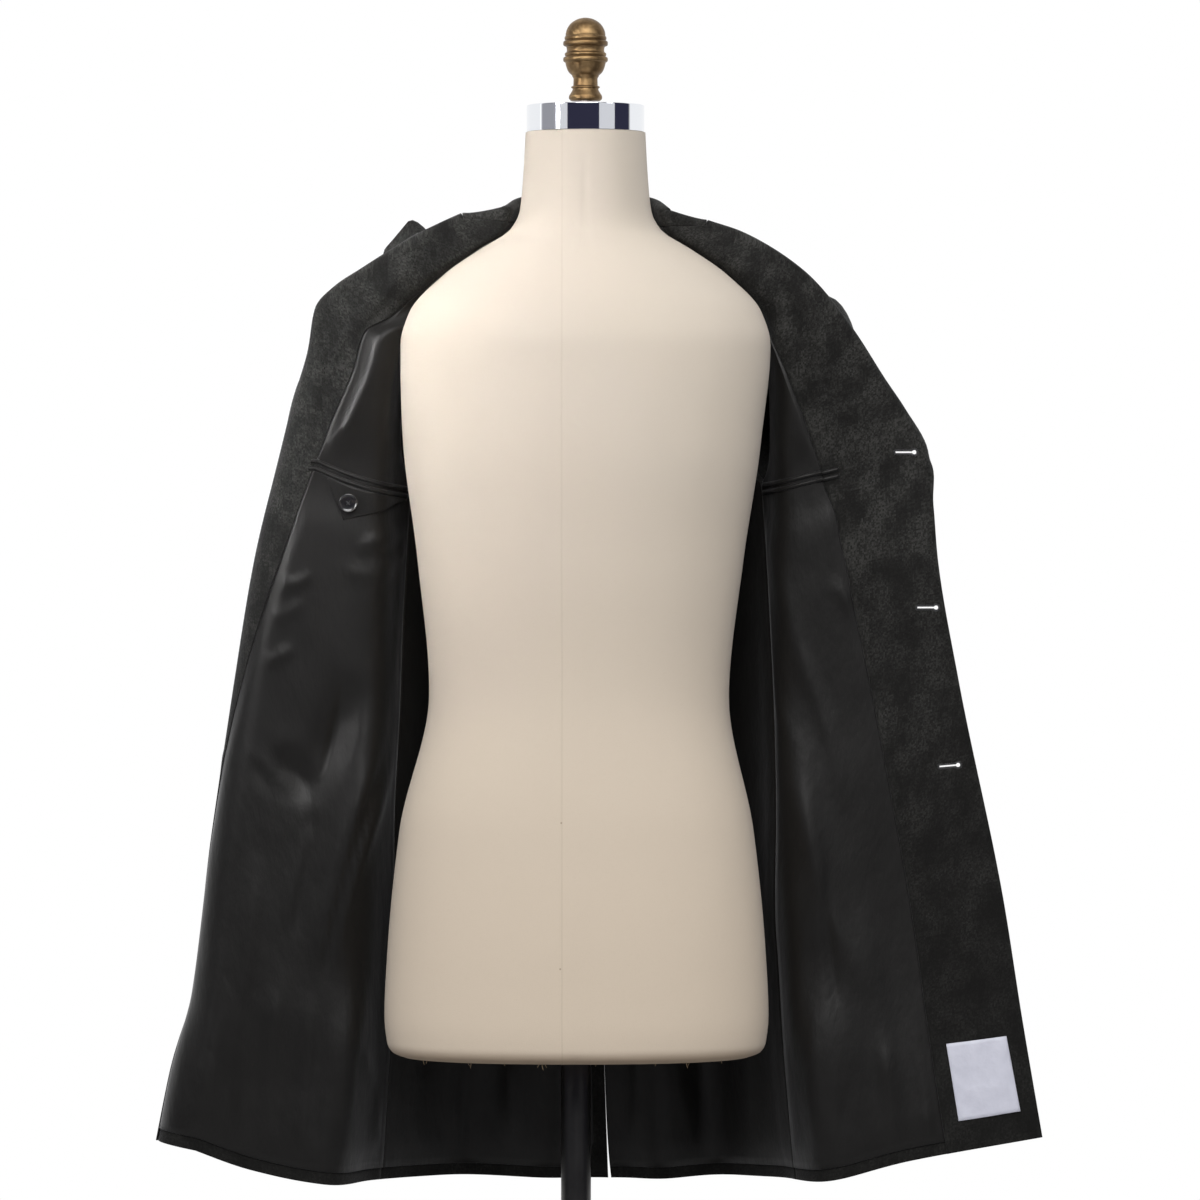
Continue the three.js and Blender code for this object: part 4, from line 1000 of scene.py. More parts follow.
def collar_strip(side, share):
    """Up the collar's stand, over its fold and down its leaf."""
    row, flat, _ = cloth_row(side, 0)
    seam = read_path(row, np.array([flat * share - 2 * SEWN_GAP * share]))[0]
    seam[2] += 2 * SEWN_GAP
    place, end_inward, *_ = wing_edge(side, 0)
    top = mix(float(collar_fold("height", share)), place[1], share ** 4)
    fold = (seam[0] - SIDES[side] * float(collar_fold("lean", share)), max(top, seam[2]))
    aim = unit(np.array([end_inward[0] * share ** 2, mix(-1, end_inward[1], share ** 2)]))
    t = np.linspace(0, 1, 13)
    points = on_sheet(mix(seam[0], fold[0], t), mix(seam[2] + 1e-3, fold[1] + 1e-2, t))
    stand = max(lengths_along(points)[-1], 1.5)
    points = np.vstack([points, turn_back(fold, aim, COLLAR_ROLL, float(collar_fold("leaf", share)))])
    folded, whole = stand + math.pi * COLLAR_ROLL, lengths_along(points)[-1]
    places = np.concatenate([
        np.linspace(0, stand, STAND_STEPS + 1), np.linspace(stand, folded, FOLD_STEPS + 1)[1:],
        np.linspace(folded, whole, LEAF_STEPS + 1)[1:]])
    return read_path(points, places), places


strips = [collar_strip("left", s) for s in np.linspace(1, 0, COLLAR_STEPS + 1)[:-1]] \
    + [collar_strip("right", s) for s in np.linspace(0, 1, COLLAR_STEPS + 1)]
collar_points = np.array([strip[0] for strip in strips])
collar_normals = grid_normals(collar_points, (COLLAR_STEPS, 0), (0, 1, 0))
collar_normals[:, 0, 2] = 0
collar_normals = unit(collar_normals)
along = lengths_along(collar_points[:, 8]) * MM
collar_cloth = np.stack([np.repeat(along[:, None], collar_points.shape[1], axis=1),
                         -np.array([strip[1] for strip in strips]) * MM], axis=-1)
for name, layer in (("collar_under", OUTER_WOOL), ("collar_top", INNER_WOOL)):
    near, far = (collar_points + collar_normals * face for face in layer)
    cloth_wall(f"coat_{name}", near, far, collar_cloth, *WOOL_STUFF, [name], held="folded",
               rests_on=["form_cover"])

# ------------------------------------------------------------------ sleeves
sleeve = smooth_table(["number", "out", "back", "height", "tilt", "swing", "up", "front"], [
    [0, 196, 92, 1247, 82, 38, 94, 40],
    [1, 212, 104, 1260, 68, 32, 100, 52],
    [2, 236, 112, 1246, 45, 24, 60, 60],
    [3, 250, 118, 1205, 18, 18, 50, 68],
    [4, 252, 122, 1145, 4, 14, 46, 71],
    [5, 251, 124, 1080, 0, 12, 44, 70],
    [6, 249, 123, 1010, 0, 11, 42, 68],
    [7, 247, 120, 930, 0, 10, 39, 66],
    [8, 244, 114, 850, 0, 9, 36, 63],
    [9, 241, 106, 780, 0, 8, 34, 61],
    [10, 239, 98, 722, 0, 8, 33, 60],
])
SLEEVE_SET_BACK = {"left": 36, "right": 6}
SLEEVE_LIFT = 0.4
SLEEVE_START = 9


def sleeve_point(side, number, angle):
    tilt, swing = np.radians(sleeve("tilt", number)), np.radians(sleeve("swing", number))
    up = sleeve("up", number) * np.cos(angle)
    front = sleeve("front", number) * np.sin(angle)
    settled = np.clip(number / 3, 0, 1)
    out = sleeve("out", number) + up * np.cos(tilt) * np.cos(swing) + front * np.sin(swing)
    back = sleeve("back", number) + SLEEVE_SET_BACK[side] * settled \
        + up * np.cos(tilt) * np.sin(swing) - front * np.cos(swing)
    height = sleeve("height", number)
    centre = mix(form("centre", NECK_HEIGHT - 100), form("centre", height), settled)
    x, z = centre + SIDES[side] * out, height + up * np.sin(tilt)
    clear = sheet_depth(x, z) + mix(6, 14, settled) / np.maximum(sheet_normal(x, z)[..., 1], 0.3)
    return np.stack([x, np.maximum(back, clear), z], axis=-1)


def armhole_point(side, angle, lift):
    down = ARMHOLE_TOP + ARMHOLE_REACH * (1 - math.cos(angle))
    row, flat, _ = cloth_row(side, down)
    facing_start = flat + wings[side]("seam", down)
    seam = min(side_seam("cloth", down), facing_start - LEAST_LINING - ARMHOLE_HALF * abs(math.sin(angle)))
    place = read_path(row, np.array([seam + ARMHOLE_HALF * math.sin(angle)]))[0]
    return place + sheet_normal(place[0], place[2]) * lift


# Creases round a hanging sleeve: how far down it, which way round, half width, and how proud.
SLEEVE_CREASES = [
    (1.2, 0.4, 0.5, 2.4), (2.1, -0.9, 0.35, 2.2), (3.0, 1.2, 0.4, 2.6), (3.7, -0.4, 0.3, -2.2),
    (4.6, 0.8, 0.35, 2.6), (5.2, -1.4, 0.3, 2.8), (5.8, 1.6, 0.28, -2.6), (6.3, 0.2, 0.3, 2.6),
    (7.0, 1.1, 0.3, 2.0), (7.8, -0.8, 0.35, 1.8), (8.7, 0.5, 0.4, 1.4),
]


def sleeve_creases(number, angle, side):
    height = 0 * angle
    for i, (place, turn, half, proud) in enumerate(SLEEVE_CREASES):
        slant = 0.45 * math.sin(1.9 * i + (0.8 if side == "left" else 0))
        away = (number - place - slant * np.sin(angle - turn)) / half
        round_fade = (0.5 + 0.5 * np.cos(angle - turn)) ** 1.6
        height = height + proud * round_fade * np.exp(-away ** 2)
    return height * np.clip(number / 1.5, 0, 1) * np.clip((10 - number) / 1.0, 0, 1)


SLEEVE_LAP = 0.003
SLEEVE_RINGS = 100
ARMHOLE_RINGS = 5
ELBOW_RING, ELBOW = 60, 5.5


def sleeve_piece(side, name, start, end, steps):
    """One piece of a sleeve, from the armhole down to the cuff, with its creases."""
    angles = np.linspace(start - SLEEVE_LAP, end + SLEEVE_LAP, steps + 1)
    rings = [np.array([armhole_point(side, a, SLEEVE_LIFT + SLEEVE_START * t) for a in angles])
             for t in (0, 0.5, 1)]
    first = sleeve_point(side, 0.0, angles)
    rings += [mix(rings[-1], first, t) for t in (0.34, 0.67)]
    numbers = np.linspace(0, 10, SLEEVE_RINGS + 1)
    rings += [sleeve_point(side, n, angles) for n in numbers]
    points = np.array(rings)
    numbers = np.concatenate([np.zeros(ARMHOLE_RINGS), numbers])
    middle = steps // 2
    facing = points[ELBOW_RING, middle] - sleeve_point(side, ELBOW, (start + end) / 2 + math.pi)
    normals = grid_normals(points, (ELBOW_RING, middle), facing)
    creases = sleeve_creases(numbers[:, None], angles[None], side)
    creases = creases * edge_fade(points.shape, rows=6, columns=3)
    points = points + normals * np.maximum(creases, -1.6)[..., None]
    down, around = lengths_along(points[:, middle]), lengths_along(points[ELBOW_RING])
    cloth = np.stack(np.broadcast_arrays(around[None], -down[:, None]), axis=-1) * MM
    cloth_wall(f"coat_{name}_{side}", points, points + normals * WOOL_THICK, cloth, *WOOL_STUFF,
               [f"{name}_{side}"])


FRONT_SLEEVE_SEAM, BACK_SLEEVE_SEAM = math.radians(72), math.radians(-108)
for side in SIDES:
    sleeve_piece(side, "sleeve_upper", BACK_SLEEVE_SEAM, FRONT_SLEEVE_SEAM, 44)
    sleeve_piece(side, "sleeve_under", FRONT_SLEEVE_SEAM, BACK_SLEEVE_SEAM + 2 * math.pi, 40)

# ------------------------------------------------------------------ what is sewn on the inside
REST_GAP = 0.3
LINING_FACE = -LAYER_GAP - LINING_THICK - REST_GAP
FACING_FACE = -LAYER_GAP - WOOL_THICK - REST_GAP
# About how much cloth, in metres, a column and a row take up.
COLUMN_CLOTH, ROW_CLOTH = 0.018, 0.046
SIDE_FRONT_COLUMN = CELLS["back"] + 1
LINING_END_COLUMN = SIDE_FRONT_COLUMN + CELLS["lining"]
FACING_START_COLUMN = LINING_END_COLUMN + 1


def fine_column(column):
    """A panel column as a place on the fine grid, where each seam's gap is one step wide."""
    seams = [CELLS["back"], LINING_END_COLUMN]
    fine = 0.0
    for start in range(int(math.floor(column)) + 1):
        share = min(column - start, 1)
        fine += share * (1 if start in seams else FINE_COLUMNS)
    return fine


def on_grid(grid, row, column, distance):
    """A place on the cloth at a fraction of a row and column, off its face by a distance."""
    points, normals = grid["points"], grid["normals"]
    r, c = row * FINE_ROWS, fine_column(column)
    i, j = min(int(r), points.shape[0] - 2), min(int(c), points.shape[1] - 2)
    s, t = r - i, c - j
    return sum(weight * (points[place] + distance * normals[place]) for place, weight in (
        ((i, j), (1 - s) * (1 - t)), ((i, j + 1), (1 - s) * t),
        ((i + 1, j), s * (1 - t)), ((i + 1, j + 1), s * t)))


def find_on_grid(grid, x, z):
    """The row and column that show at a place seen from the front."""
    best, reach = (0, 0, 1e9), 1.0
    tries = [(r, c) for r in range(ROWS + 1) for c in range(SIDE_FRONT_COLUMN, FACING_START_COLUMN + 5)]
    for _ in range(14):
        for row, column in tries:
            place = on_grid(grid, row, column, 0)
            miss = math.hypot(place[0] - x, place[2] - z)
            if miss < best[2]:
                best = (row, column, miss)
        steps = (-1, -0.5, 0, 0.5, 1)
        tries = [(held_in(best[0] + a * reach, 0, ROWS), max(best[1] + b * reach, 0))
                 for a in steps for b in steps]
        reach *= 0.6
    return best[:2]


def laid_strip(grid, columns, top_row, foot_row, cells, thick, lift=0.0, steps=60, crown=0.0):
    """Cloth laid on the inside, from its top row to its foot row; a crown rounds it over."""
    places = np.linspace(*columns, steps + 1)
    near, far, cloth = [], [], []
    for j in range(cells + 1):
        near.append([]), far.append([]), cloth.append([])
        for column in places:
            over = held_in((column - LINING_END_COLUMN + 0.5) / 0.4, 0, 1)
            row = mix(top_row(column), foot_row(column), j / cells)
            face = mix(LINING_FACE, FACING_FACE, over) - lift
            round_over = crown * math.sin(math.pi * j / cells)
            near[-1].append(on_grid(grid, row, column, face))
            far[-1].append(on_grid(grid, row, column, face - thick - round_over))
            cloth[-1].append((column * COLUMN_CLOTH, -row * ROW_CLOTH))
    return np.array(near), np.array(far), np.array(cloth)


JET = {"width": 4.8, "thick": 0.7, "crown": 1.6, "apart": 7.6}
# The pocket mouth's row on the sheet, at the side seam and at its front end.
POCKET_ROW = {"left": (8.95, 9.08), "right": (8.82, 8.93)}
POCKET_COLUMNS = {"left": (SIDE_FRONT_COLUMN + 0.3, FACING_START_COLUMN + 1.3),
                  "right": (SIDE_FRONT_COLUMN + 0.3, FACING_START_COLUMN + 0.6)}


def pocket_drop(side, drop, column):
    above, below = (on_grid(sheet[side], row, SIDE_FRONT_COLUMN + 3, 0) for row in (9, 10))
    start, end = POCKET_COLUMNS[side]
    mouth = mix(*POCKET_ROW[side], held_in((column - start) / (end - start), 0, 1))
    return mouth + drop / np.linalg.norm(above - below)


for side in SIDES:
    for name, start in (("upper", 0), ("lower", JET["apart"])):
        near, far, cloth = laid_strip(
            sheet[side], POCKET_COLUMNS[side], lambda c: pocket_drop(side, start, c),
            lambda c: pocket_drop(side, start + JET["width"], c), 8, JET["thick"], crown=JET["crown"])
        cloth_wall(f"pocket_welt_{name}_{side}", near, far, cloth, *LINING_STUFF, [f"jet_{name}_{side}"])

TAB = {"columns": (SIDE_FRONT_COLUMN + 0.4, SIDE_FRONT_COLUMN + 5.2), "tip": SIDE_FRONT_COLUMN + 4,
       "tip_row": 9.98, "least": 0.04, "thick": 1.1, "lift": 0.5}


def tab_top(column):
    return pocket_drop("left", JET["apart"] + JET["width"] + 0.6, column)


def tab_foot(column):
    low, high = TAB["columns"]
    share = ((high - column) / (high - TAB["tip"]) if column > TAB["tip"]
             else ((column - low) / (TAB["tip"] - low)) ** 1.5)
    return mix(tab_top(column) + TAB["least"], TAB["tip_row"], share)


near, far, cloth = laid_strip(
    sheet["left"], TAB["columns"], tab_top, tab_foot, 14, TAB["thick"], TAB["lift"])
cloth_wall("pocket_tab_cloth", near, far, cloth, *LINING_STUFF, ["pocket_tab"])


# The care label's corners seen from the front, clockwise from the top left, and its size in metres.
LABEL_CORNERS = [(371, 602), (431, 610), (445, 535), (383, 525)]
LABEL_SIZE = (0.061, 0.077)
LABEL_FACES = (FACING_FACE - 0.1, FACING_FACE - 0.7)

top_left, top_right, foot_right, foot_left = [np.array(corner, float) for corner in LABEL_CORNERS]
u, v = np.meshgrid(np.linspace(0, 1, 17), np.linspace(0, 1, 21))
found = [find_on_grid(sheet["right"], *mix(mix(top_left, top_right, s), mix(foot_left, foot_right, s), t))
         for s, t in zip(u.ravel(), v.ravel())]
near, far = (np.array([on_grid(sheet["right"], *place, face) for place in found]).reshape(*u.shape, 3)
             for face in LABEL_FACES)
ripple = 0.9 * np.sin(5.5 * u + 2.0 * v) ** 2 * np.sin(np.pi * u) ** 0.5 * (0.3 + 0.7 * v) \
    + 0.5 * np.sin(9 * v + 3 * u) * np.sin(np.pi * v) ** 2 * (1 - u) * 0.8
lift = np.array([0, -1, 0]) * np.maximum(ripple, 0)[..., None]
cloth = np.stack([u * LABEL_SIZE[0], -v * LABEL_SIZE[1]], axis=-1)
cloth_wall("care_label", near + lift, far + lift, cloth, LABEL, "label", ["label"])

VENT_ROWS, VENT_COLUMNS = np.linspace(15.6, 20.7, 60), np.linspace(0.02, 0.46, 9)
near, far = (np.array([[on_grid(sheet["left"], r, c, face) for c in VENT_COLUMNS] for r in VENT_ROWS])
             for face in (LINING_FACE - 0.2, LINING_FACE - 1.4))
cloth = np.stack(np.broadcast_arrays(VENT_COLUMNS[None] * 0.028, -VENT_ROWS[:, None] * ROW_CLOTH), axis=-1)
cloth_wall("vent_edge", near, far, cloth, *WOOL_STUFF, ["vent_facing"])

# ------------------------------------------------------------------ buttonholes
KEYHOLE = {"length": 19, "slot": 1.0, "eye": 2.4, "reach": 7}
# Each buttonhole's place, seen from the front, and its tilt in degrees.
BUTTONHOLES = [(342, 1195, 0), (364, 1039, 0), (386, 881, 5)]
STITCH = {"spacing": 0.95, "shape": (0.42, 1.15, 0.42), "out": 0.75}


def keyhole_outline(grow=0.0, steps=9):
    """The keyhole's outline from the slot's lower inner corner round the eye and back."""
    slot, eye = KEYHOLE["slot"] + grow, KEYHOLE["eye"] + grow
    neck = math.acos(slot / eye)
    turn = np.linspace(-math.pi / 2 - neck, math.pi / 2 + neck, steps)
    turn = np.where(turn < -math.pi, turn + 2 * math.pi, turn)
    length = KEYHOLE["length"] + grow
    return [(-length, -slot)] + [(eye * math.cos(a), eye * math.sin(a)) for a in turn] + [(-length, slot)]


def keyhole_place(x, z, tilt):
    """From the keyhole's own flat shape to its place in the front edge."""
    depth = float(sheet_depth(np.array(float(x)), np.array(float(z))))
    return Matrix.Translation((x - KEYHOLE["eye"], depth, z)) @ Matrix.Rotation(math.radians(90), 4, "X") \
        @ Matrix.Rotation(math.radians(tilt), 4, "Z")


def keyhole_cutter(hole):
    """A keyhole-shaped punch: its outline filled and drawn out through the cloth."""
    outline = [(u, v, -KEYHOLE["reach"]) for u, v in keyhole_outline()]
    mesh = bpy.data.meshes.new("punch")
    mesh.from_pydata(outline, [], [range(len(outline))])
    punch = new_object("punch", mesh)
    use(punch, mode="EDIT")
    bpy.ops.mesh.select_all(action="SELECT")
    bpy.ops.mesh.extrude_region_move(TRANSFORM_OT_translate={"value": (0, 0, 2 * KEYHOLE["reach"])})
    face_outward(punch)
    punch.data.transform(Matrix.Scale(MM, 4) @ keyhole_place(*hole))
    return punch


punches = [keyhole_cutter(hole) for hole in BUTTONHOLES]
for piece in fronts["right"]:
    for punch in punches:
        cut_away(piece, "buttonhole", punch)
put_away(*punches)


def stitched_edge(hole, name):
    """Close stitches over the cut edge of one buttonhole, each a small bead of thread."""
    outline = [Vector((*p, 0)) for p in keyhole_outline(STITCH["out"], 15)]
    outline.append(outline[0])
    bpy.ops.object.select_all(action="DESELECT")
    bpy.ops.mesh.primitive_uv_sphere_add(segments=8, ring_count=6, radius=1.0, location=(0, 0, 0))
    bead = bpy.context.object
    bead.scale = STITCH["shape"]
    settle(bead)
    stitches, carry = [], 0.0
    for start, end in zip(outline, outline[1:]):
        run = end - start
        turn = Matrix.Rotation(math.atan2(run.y, run.x), 4, "Z")
        while carry < run.length:
            spot = keyhole_place(*hole) @ Matrix.Translation(start + run * (carry / run.length)) @ turn
            surface = float(sheet_depth(np.array(spot.translation.x), np.array(spot.translation.z)))
            for side in (1, -1):
                spot.translation.y = surface - side * (LAYER_GAP + WOOL_THICK + 0.05)
                stitches.append(copy_to(bead, Matrix.Scale(MM, 4) @ spot))
            carry += STITCH["spacing"]
        carry -= run.length
    put_away(bead)
    finish_piece(joined(stitches), name, THREAD, smooth=60)


for i, hole in enumerate(BUTTONHOLES):
    stitched_edge(hole, f"buttonhole_stitching_{i + 1}")

# ------------------------------------------------------------------ buttons
SHANK = {"width": 2.2, "length": 3.0}
BUTTON_HEIGHTS, BUTTON_FROM_EDGE = (1201, 1042, 882), 38
TAB_BUTTON_PLACE = (-229, 1144)


def make_button(radius, thick):
    """A dished four-hole button on its thread shank, its back at the origin, facing +Z."""
    shank = SHANK["length"]
    rim = rounded_profile([
        (radius * 0.70, shank, 0), (radius * 0.78, shank, 0.3), (radius, shank + thick * 0.35, 0.8),
        (radius, shank + thick * 0.7, 0.9), (radius * 0.9, shank + thick, 0.9),
        (radius * 0.74, shank + thick * 0.74, 0.8), (radius * 0.4, shank + thick * 0.62, 0)], 5)
    disc = turned((0, 0), rim, 56)
    spread = radius * 0.19
    for u, v in ((1, 1), (1, -1), (-1, 1), (-1, -1)):
        bpy.ops.object.select_all(action="DESELECT")
        bpy.ops.mesh.primitive_cylinder_add(vertices=18, radius=radius * 0.088, depth=3 * thick,
                                            location=(u * spread, v * spread, shank + thick / 2))
        drill = bpy.context.object
        cut_away(disc, "hole", drill)
        put_away(drill)
    width = SHANK["width"]
    threads = [turned((0, 0), [(width * 0.9, 0), (width, 0.5), (width * 0.8, shank * 0.5),
                               (width, shank - 0.1)], 24)]
    level = shank + thick * 0.62
    for turn in (45, -45):
        for aside in (-0.32, 0.32):
            bpy.ops.object.select_all(action="DESELECT")
            bpy.ops.mesh.primitive_cylinder_add(vertices=10, radius=0.30, depth=2 * spread * 1.414,
                                                location=(0, 0, 0), rotation=(0, math.radians(90), 0))
            strand = in_steps(bpy.context.object, 3)
            for vertex in strand.data.vertices:
                reach = vertex.co.x / (spread * 1.414)
                vertex.co.z += 0.5 * (1 - reach ** 2)
                vertex.co.y += aside * (0.6 + 0.4 * (1 - reach ** 2))
            turned_round = Matrix.Rotation(math.radians(turn), 4, "Z")
            strand.data.transform(Matrix.Translation((0, 0, level)) @ turned_round)
            threads.append(strand)
    return disc, joined(threads)


def sew_on(name, shape, place, facing):
    """Puts a copy of a button and its thread where it is sewn, turned to face the given way."""
    turn = Vector((0, 0, 1)).rotation_difference(Vector(facing)).to_matrix().to_4x4()
    matrix = Matrix.Scale(MM, 4) @ Matrix.Translation(Vector(place)) @ turn
    disc, thread = (copy_to(source, matrix) for source in shape)
    finish_piece(disc, f"coat_{name}", HORN, [name], smooth=35)
    finish_piece(thread, f"coat_{name}_thread", THREAD, smooth=35)


def cloth_facing(grid, row, column, distance):
    place = on_grid(grid, row, column, distance)
    across = on_grid(grid, row, column + 0.02, distance) - place
    down = on_grid(grid, row + 0.02, column, distance) - place
    facing = unit(np.cross(across, down))
    outward = place - on_grid(grid, row, column, 0)
    return place, facing * np.sign(np.dot(facing, outward))


def coarse_row(height):
    """The row whose front edge lies at a height, on the left front."""
    edge = [on_grid(sheet["left"], r, FACING_START_COLUMN + 10, 0)[2] for r in range(ROWS + 1)]
    r = next(i for i, z in enumerate(edge) if z < height) - 1
    return r + (edge[r] - height) / (edge[r] - edge[r + 1])


def column_from_edge(row, from_edge):
    """The column that lies a length of cloth in from the front edge."""
    places = abs(sheet["left"]["cloth"][round(row) * FINE_ROWS, :, 0]) / MM
    fine = np.interp(places[-1] - from_edge, places, np.arange(len(places)))
    return FACING_START_COLUMN + (fine - FACING_START) / FINE_COLUMNS


front_button = make_button(11.5, 4.0)
for i, height in enumerate(BUTTON_HEIGHTS):
    row = coarse_row(height)
    column = column_from_edge(row, BUTTON_FROM_EDGE)
    sew_on(f"front_button_{i + 1}", front_button,
           *cloth_facing(sheet["left"], row, column, OUTER_WOOL[1] + REST_GAP))
small_button = make_button(9.6, 3.0)
tab_face = LINING_FACE - TAB["thick"] - TAB["lift"]
sew_on("tab_button", small_button, *cloth_facing(
    sheet["left"], *find_on_grid(sheet["left"], *TAB_BUTTON_PLACE), tab_face - REST_GAP))
put_away(*front_button, *small_button)

# ------------------------------------------------------------------ dress form
SEGMENTS = 120


def form_cover():
    """The padded canvas body: level rings, drawn in over the top and the foot."""
    heights = np.concatenate([FORM_FOOT + np.array([0, 0.4, 1.2, 2.5, 4, 6, 8.5, 12]),
                              np.linspace(FORM_FOOT + 16, FORM_TOP, 150)])
    turn = 2 * np.pi * np.arange(SEGMENTS) / SEGMENTS
    across, back = np.cos(turn), np.sin(turn)
    rings = []
    for z in heights:
        half, deep, power = form("half", z), form("deep", z), 2 / form("square", z)
        pull = 0.5 * np.exp(-((z - 1130) / 260) ** 2)
        dent = 1.1 * np.exp(-((turn - 1.5 * np.pi) / 0.012) ** 2) * (z < 1480)
        x = form("centre", z) + half * np.sign(across) * np.abs(across) ** power
        y = form("middle", z) + deep * np.sign(back) * np.abs(back) ** power
        y = y + (dent + pull * np.sin(3 * turn) * 0.3) * (back < 0)
        rings.append(np.stack([x, y, np.full(SEGMENTS, z)], axis=-1))
    points = np.array(rings)
    rows = len(points)
    index = np.arange(rows * SEGMENTS).reshape(rows, SEGMENTS)
    after = np.roll(index, -1, axis=1)
    faces = np.stack([index[:-1], after[:-1], after[1:], index[1:]], axis=-1).reshape(-1, 4)
    faces = [tuple(int(i) for i in f) for f in faces]
    faces += [tuple(int(i) for i in index[0][::-1]), tuple(int(i) for i in index[-1])]
    mesh = bpy.data.meshes.new("form_cover")
    mesh.from_pydata([tuple(p * MM) for p in points.reshape(-1, 3)], [], faces)
    piece = new_object("form_cover", mesh)
    finish_piece(piece, "form_cover", CANVAS, ["form_body"], smooth=40)


form_cover()

# Threads that have worked loose along the canvas's lower edge: how far across, length and lean.
LOOSE_THREADS = [
    (-151, 5, 0.5), (-147, 3.5, -0.7), (-106, 4, 0.9), (-103, 6, -0.2), (-36, 4, -0.8), (-33, 6.5, 0.4),
    (-30, 4, 0.9), (79, 3, -0.5), (109, 6, 0.5), (112, 4, -0.7), (144, 3.5, 0.3), (-70, 3, 0.4),
    (20, 3, -0.3)]
threads = []
for across, length, lean in LOOSE_THREADS:
    depth = -form("deep", 594) * (1 - abs(across / form("half", 594)) ** 2.3) ** (1 / 2.3)
    bpy.ops.object.select_all(action="DESELECT")
    bpy.ops.mesh.primitive_cone_add(vertices=8, radius1=0.12, radius2=0.3, depth=length,
                                    location=(0, 0, -length / 2))
    strand = in_steps(bpy.context.object, 4)
    for vertex in strand.data.vertices:
        fall = -vertex.co.z / length
        vertex.co.x += lean * length * 0.5 * fall ** 2
        vertex.co.y += 0.8 * math.sin(3 * fall)
    strand.data.transform(Matrix.Scale(MM, 4) @ Matrix.Translation((across, depth + 1.2, FORM_FOOT + 1.4)))
    threads.append(strand)
finish_piece(joined(threads), "form_loose_threads", CANVAS_THREAD, smooth=60)

neck_axis = tuple(float(form(name, FORM_TOP)) * MM for name in ("centre", "middle"))


def turned_piece(name, axis, bottom, corners, rounding, segments, material, node, smooth):
    """A turned metal piece standing on a height, from the corners of its profile."""
    profile = [(r * MM, (z + bottom) * MM) for r, z in rounded_profile(corners, rounding)]
    finish_piece(turned(axis, profile, segments), name, material, [node], smooth)


CAP_RADIUS, CAP_HEIGHT, STUD_RADIUS, STUD_HEIGHT = 59, 27, 6.5, 4
CAP_BOTTOM = FORM_TOP + SEAM_GAP
STUD_BOTTOM = CAP_BOTTOM + CAP_HEIGHT + SEAM_GAP
turned_piece("neck_cap", neck_axis, CAP_BOTTOM, [
    (54, 0, 0), (CAP_RADIUS, 0, 0.5), (CAP_RADIUS, 1.2, 0), (CAP_RADIUS, CAP_HEIGHT - 1.6, 0),
    (CAP_RADIUS, CAP_HEIGHT, 1.0), (54, CAP_HEIGHT, 0)], 4, 128, CHROME, "form_cap", 30)
turned_piece("finial_nut", neck_axis, STUD_BOTTOM, [
    (4, 0, 0), (STUD_RADIUS, 0, 0.3), (STUD_RADIUS, STUD_HEIGHT, 0.3), (4, STUD_HEIGHT, 0)],
    3, 48, CHROME, "finial_stud", 30)
turned_piece("turned_finial", neck_axis, STUD_BOTTOM + STUD_HEIGHT + SEAM_GAP, [
    (10, 0, 0), (14.5, 0, 0.4), (16.8, 2.2, 1.2), (16.6, 5.0, 1.2), (13.4, 10, 2.5), (12.7, 12.2, 0.8),
    (14.4, 13.2, 0.5), (14.4, 14.2, 0.5), (12.3, 15, 0.7), (12.0, 22.6, 1.0), (13.2, 24.2, 0.8),
    (13.4, 25.4, 0.8), (17.4, 29, 3), (19.6, 35, 2.5), (20.2, 38.4, 0.6), (22.4, 39.6, 1.4),
    (22.4, 43.4, 1.4), (19.9, 44.4, 0.6), (20.8, 45.6, 0.6), (20.8, 47.6, 0.7), (18.9, 48.8, 1.0), (18.6, 51.4, 1.4),
    (19.2, 54.2, 0.8), (22.4, 55.4, 1.4), (22.4, 59.4, 1.5), (20.2, 60.6, 0.5), (21.0, 61.6, 0.6),
    (21.0, 63.8, 0.7), (19.8, 65.2, 0.6), (20.0, 66.5, 1), (19.2, 71, 4), (15.4, 77.5, 5), (8.4, 82, 5),
    (2.5, 83.2, 0)], 4, 96, BRASS, "finial", 28)

# ------------------------------------------------------------------ stand
BASE_RADIUS, BASE_HEIGHT, POLE_RADIUS = 215, 30, 15
POLE_LENGTH = FORM_FOOT - SEAM_GAP * 2 - BASE_HEIGHT
turned_piece("pole", (0, 0), BASE_HEIGHT + SEAM_GAP, [
    (12, 0, 0), (POLE_RADIUS, 0, 0.6), (POLE_RADIUS, POLE_LENGTH, 0.6), (12, POLE_LENGTH, 0)],
    3, 64, DARK_METAL, "stand_pole", 30)
turned_piece("stand_foot", (0, 0), 0, [
    (190, 0, 0), (BASE_RADIUS - 2, 0, 1.5), (BASE_RADIUS, 3, 1.5), (BASE_RADIUS, 9, 3),
    (BASE_RADIUS - 5, 13.5, 3), (120, 19, 30), (40, 22, 8), (30, 24, 3), (27, BASE_HEIGHT, 2),
    (18, BASE_HEIGHT, 0)], 6, 128, DARK_METAL, "stand_base", 35)

# ------------------------------------------------------------------ room and light
room = Finish("pale_floor", Roughness=0.75, Specular_IOR_Level=0.2)
grain = room.noise(room.place(), 3.0, 4.0)
room.set(Base_Color=room.blend(grain, (0.42, 0.42, 0.42), (0.46, 0.46, 0.46)))
bpy.ops.object.select_all(action="DESELECT")
bpy.ops.mesh.primitive_circle_add(vertices=96, radius=2.6, fill_type="NGON", location=(0, 0, 0))
floor = bpy.context.object
floor.name = "floor"
floor.data.materials.append(room.material)

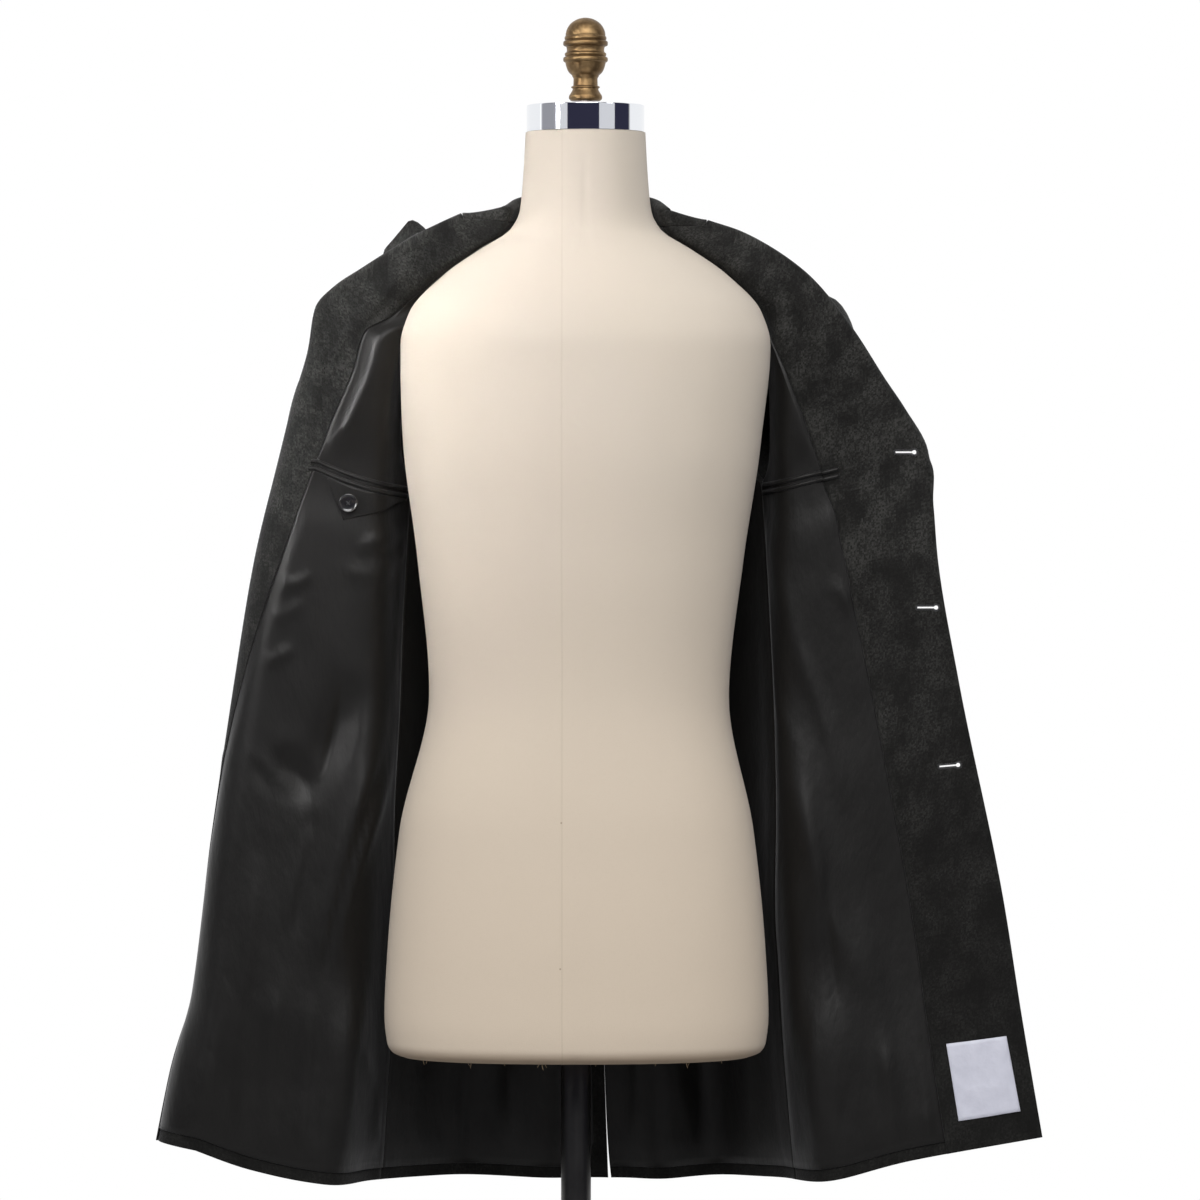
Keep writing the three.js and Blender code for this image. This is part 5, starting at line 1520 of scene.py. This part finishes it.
world = bpy.data.worlds.new("studio")
world.use_nodes = True
bpy.context.scene.world = world
air = world.node_tree
direction = air.nodes.new("ShaderNodeTexCoord")
split = air.nodes.new("ShaderNodeSeparateXYZ")
ramp = air.nodes.new("ShaderNodeValToRGB")
air.links.new(direction.outputs["Generated"], split.inputs["Vector"])
shift = air.nodes.new("ShaderNodeMath")
shift.operation = "MULTIPLY_ADD"
shift.inputs[1].default_value, shift.inputs[2].default_value = 0.5, 0.5
air.links.new(split.outputs["Y"], shift.inputs[0])
air.links.new(shift.outputs[0], ramp.inputs["Fac"])
# White behind the coat and dark in front of it, which the chrome shows.
for element, position, colour in zip(
        ramp.color_ramp.elements, (0.53, 0.575), ((0.030, 0.030, 0.055), (1, 1, 1))):
    element.position, element.color = position, (*colour, 1)
air.links.new(ramp.outputs["Color"], air.nodes["Background"].inputs["Color"])
air.nodes["Background"].inputs["Strength"].default_value = 1.0


def soft_light(name, place, aim, size, power, spread=180):
    lamp = bpy.data.lights.new(name, "AREA")
    lamp.shape, lamp.size, lamp.size_y = "RECTANGLE", size[0], size[1]
    lamp.energy, lamp.spread = power, math.radians(spread)
    light = new_object(name, lamp)
    light.location = place
    light.rotation_euler = (Vector(aim) - Vector(place)).to_track_quat("-Z", "Y").to_euler()


soft_light("long_front", (0, -6.2, 4.0), (0, 0, 1.2), (2.6, 1.2), 113)
soft_light("high_front", (0.1, -2.1, 2.65), (0, 0, 1.2), (1.7, 0.9), 36)
soft_light("left_window", (-2.6, -2.1, 2.9), (-0.1, 0, 1.25), (0.9, 1.4), 28)
soft_light("right_window", (2.7, -2.3, 2.9), (0.1, 0, 1.2), (0.8, 1.4), 16)
soft_light("left_strip", (-1.42, -0.97, 1.66), (-0.26, 0.02, 1.36), (0.25, 0.5), 0.9, spread=24)
# Cards that give the chrome its bands.
soft_light("left_card", (-1.86, -1.67, 1.65), (0, 0, 1.6), (1.15, 1.4), 3.6)
soft_light("right_card", (1.70, -1.83, 1.65), (0, 0, 1.6), (1.43, 1.4), 4.4)
soft_light("grey_card", (-2.46, -0.43, 1.65), (0, 0, 1.6), (1.72, 1.4), 2.4)
# A light from above, between the form and the camera.
soft_light("overhead", (0, -0.9, 2.9), (0, 0, 1.35), (1.6, 0.9), 11.4)
bpy.context.scene.view_settings.view_transform = "Standard"
